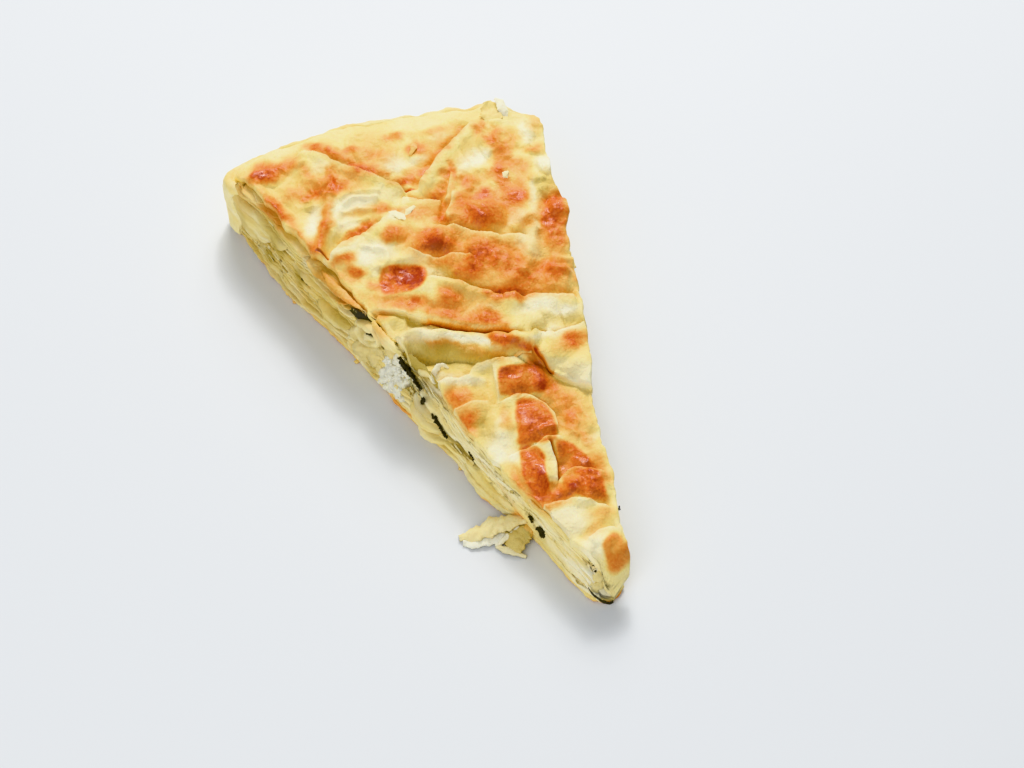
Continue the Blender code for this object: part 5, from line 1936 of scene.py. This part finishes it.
foot_crumbs = new_shape()
for first_y, last_y, count in LEFT_FOOT_CRUMBS:
    for _ in range(count):
        spot = on_cut(left(draws.uniform(first_y, last_y)), draws.uniform(0.4, 1.6), draws.uniform(-0.8, 0.6))
        add_crumb(foot_crumbs, spot, draws.uniform(0.8, 2.0), (draws.uniform(0.12, 0.4), 0, 0), 3)
for _ in range(RIGHT_FOOT_CRUMBS):
    spot = on_cut(right(draws.uniform(10, 210)), draws.uniform(0.7, 2.4), draws.uniform(-0.3, 0.8))
    add_crumb(foot_crumbs, spot, draws.uniform(0.8, 2.0), (draws.uniform(0.1, 0.6), 0, 0))
finished("foot_crumbs", foot_crumbs, crust_finish)

# %% [markdown]
# ## The wrap at the back
# At the tray's side the outer sheet was folded up over the pie. It covers the back of the
# slice from the crust to the foot, in soft upright folds. It is one more leaf, with a long
# hanging part.

# %% Back wrap
WRAP_POINTS = 200


def back_wrap():
    bm = new_shape()
    around = np.linspace(right_back - 8, round_length + left_back + 14, WRAP_POINTS)
    r, _, at = even_path(around, np.zeros(WRAP_POINTS))
    ends = smooth_step(0, 7, at) * smooth_step(at[-1], at[-1] - 12, at)
    z = at_walk(walk_top, r) - 1.8 - 1.5 * (1 - ends)
    thick = (1.9 + 0.4 * ripple(at, 0 * at, 9, 96.5)) * (0.4 + 0.6 * ends)
    reach = 0.3 + 1.8 * ripple(at, 0 * at, 7, 97.5) + 1.0 * ripple(at, 0 * at, 17, 98.5)
    reach = mix(-1.0, reach, ends)
    add_leaf(bm, r, z, thick, reach, (z - 0.8 - reach * 0.3) * (0.2 + 0.8 * ends), rows=22)
    finished("back_wrap", bm, dough_finish)


back_wrap()

# %% [markdown]
# ## Floor and light
# The slice stands on a plain pale floor, which belongs to the stage and not to the part.

# %% Floor
FLOOR_SIZE = 3

floor_shape = bmesh.new()
bmesh.ops.create_grid(floor_shape, x_segments=1, y_segments=1, size=FLOOR_SIZE)
floor_mesh = bpy.data.meshes.new("floor")
floor_shape.to_mesh(floor_mesh)
floor_shape.free()
floor = bpy.data.objects.new("floor", floor_mesh)
bpy.context.scene.collection.objects.link(floor)
floor_material = bpy.data.materials.new("pale floor")
floor_material.use_nodes = True
floor_shader = floor_material.node_tree.nodes["Principled BSDF"]
feed(floor_shader, {"Base Color": shade(226, 228, 230), "Roughness": 0.6})
floor_mesh.materials.append(floor_material)
floor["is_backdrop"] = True

# %% [markdown]
# A large soft light stands behind the slice on the right, as in the photograph, with a small
# one in it for the gloss. A weak light in front and a pale sky fill the shadows of the cut.


# %% Light and sky
def soft_light(name, place, size, power):
    light = bpy.data.objects.new(name, bpy.data.lights.new(name, "AREA"))
    light.data.shape = "DISK"
    light.data.size = size
    light.data.energy = power
    light.location = place
    light.rotation_euler = (-Vector(place)).to_track_quat("-Z", "Y").to_euler()
    bpy.context.scene.collection.objects.link(light)


soft_light("window", (0.5, 1.1, 1.0), 0.9, 18)
soft_light("lamp", (0.45, 0.95, 1.0), 0.2, 4)
soft_light("fill", (-0.9, -0.7, 0.8), 1.2, 8.4)
sky = bpy.data.worlds.new("sky")
sky.use_nodes = True
feed(sky.node_tree.nodes["Background"], {"Color": (0.92, 0.96, 1.0, 1), "Strength": 0.42})
bpy.context.scene.world = sky
bpy.context.scene.view_settings.view_transform = "Khronos PBR Neutral"

# %% [markdown]
# ## Finish
# The box of the pieces is printed, and both boxes are kept together, so that the two can be
# compared.

# %% Finish
shown_low, shown_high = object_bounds()
sizes = {"solids": [list(solid_low), list(solid_high)], "pieces": [list(shown_low), list(shown_high)]}
print("pieces from", shown_low, "to", shown_high)
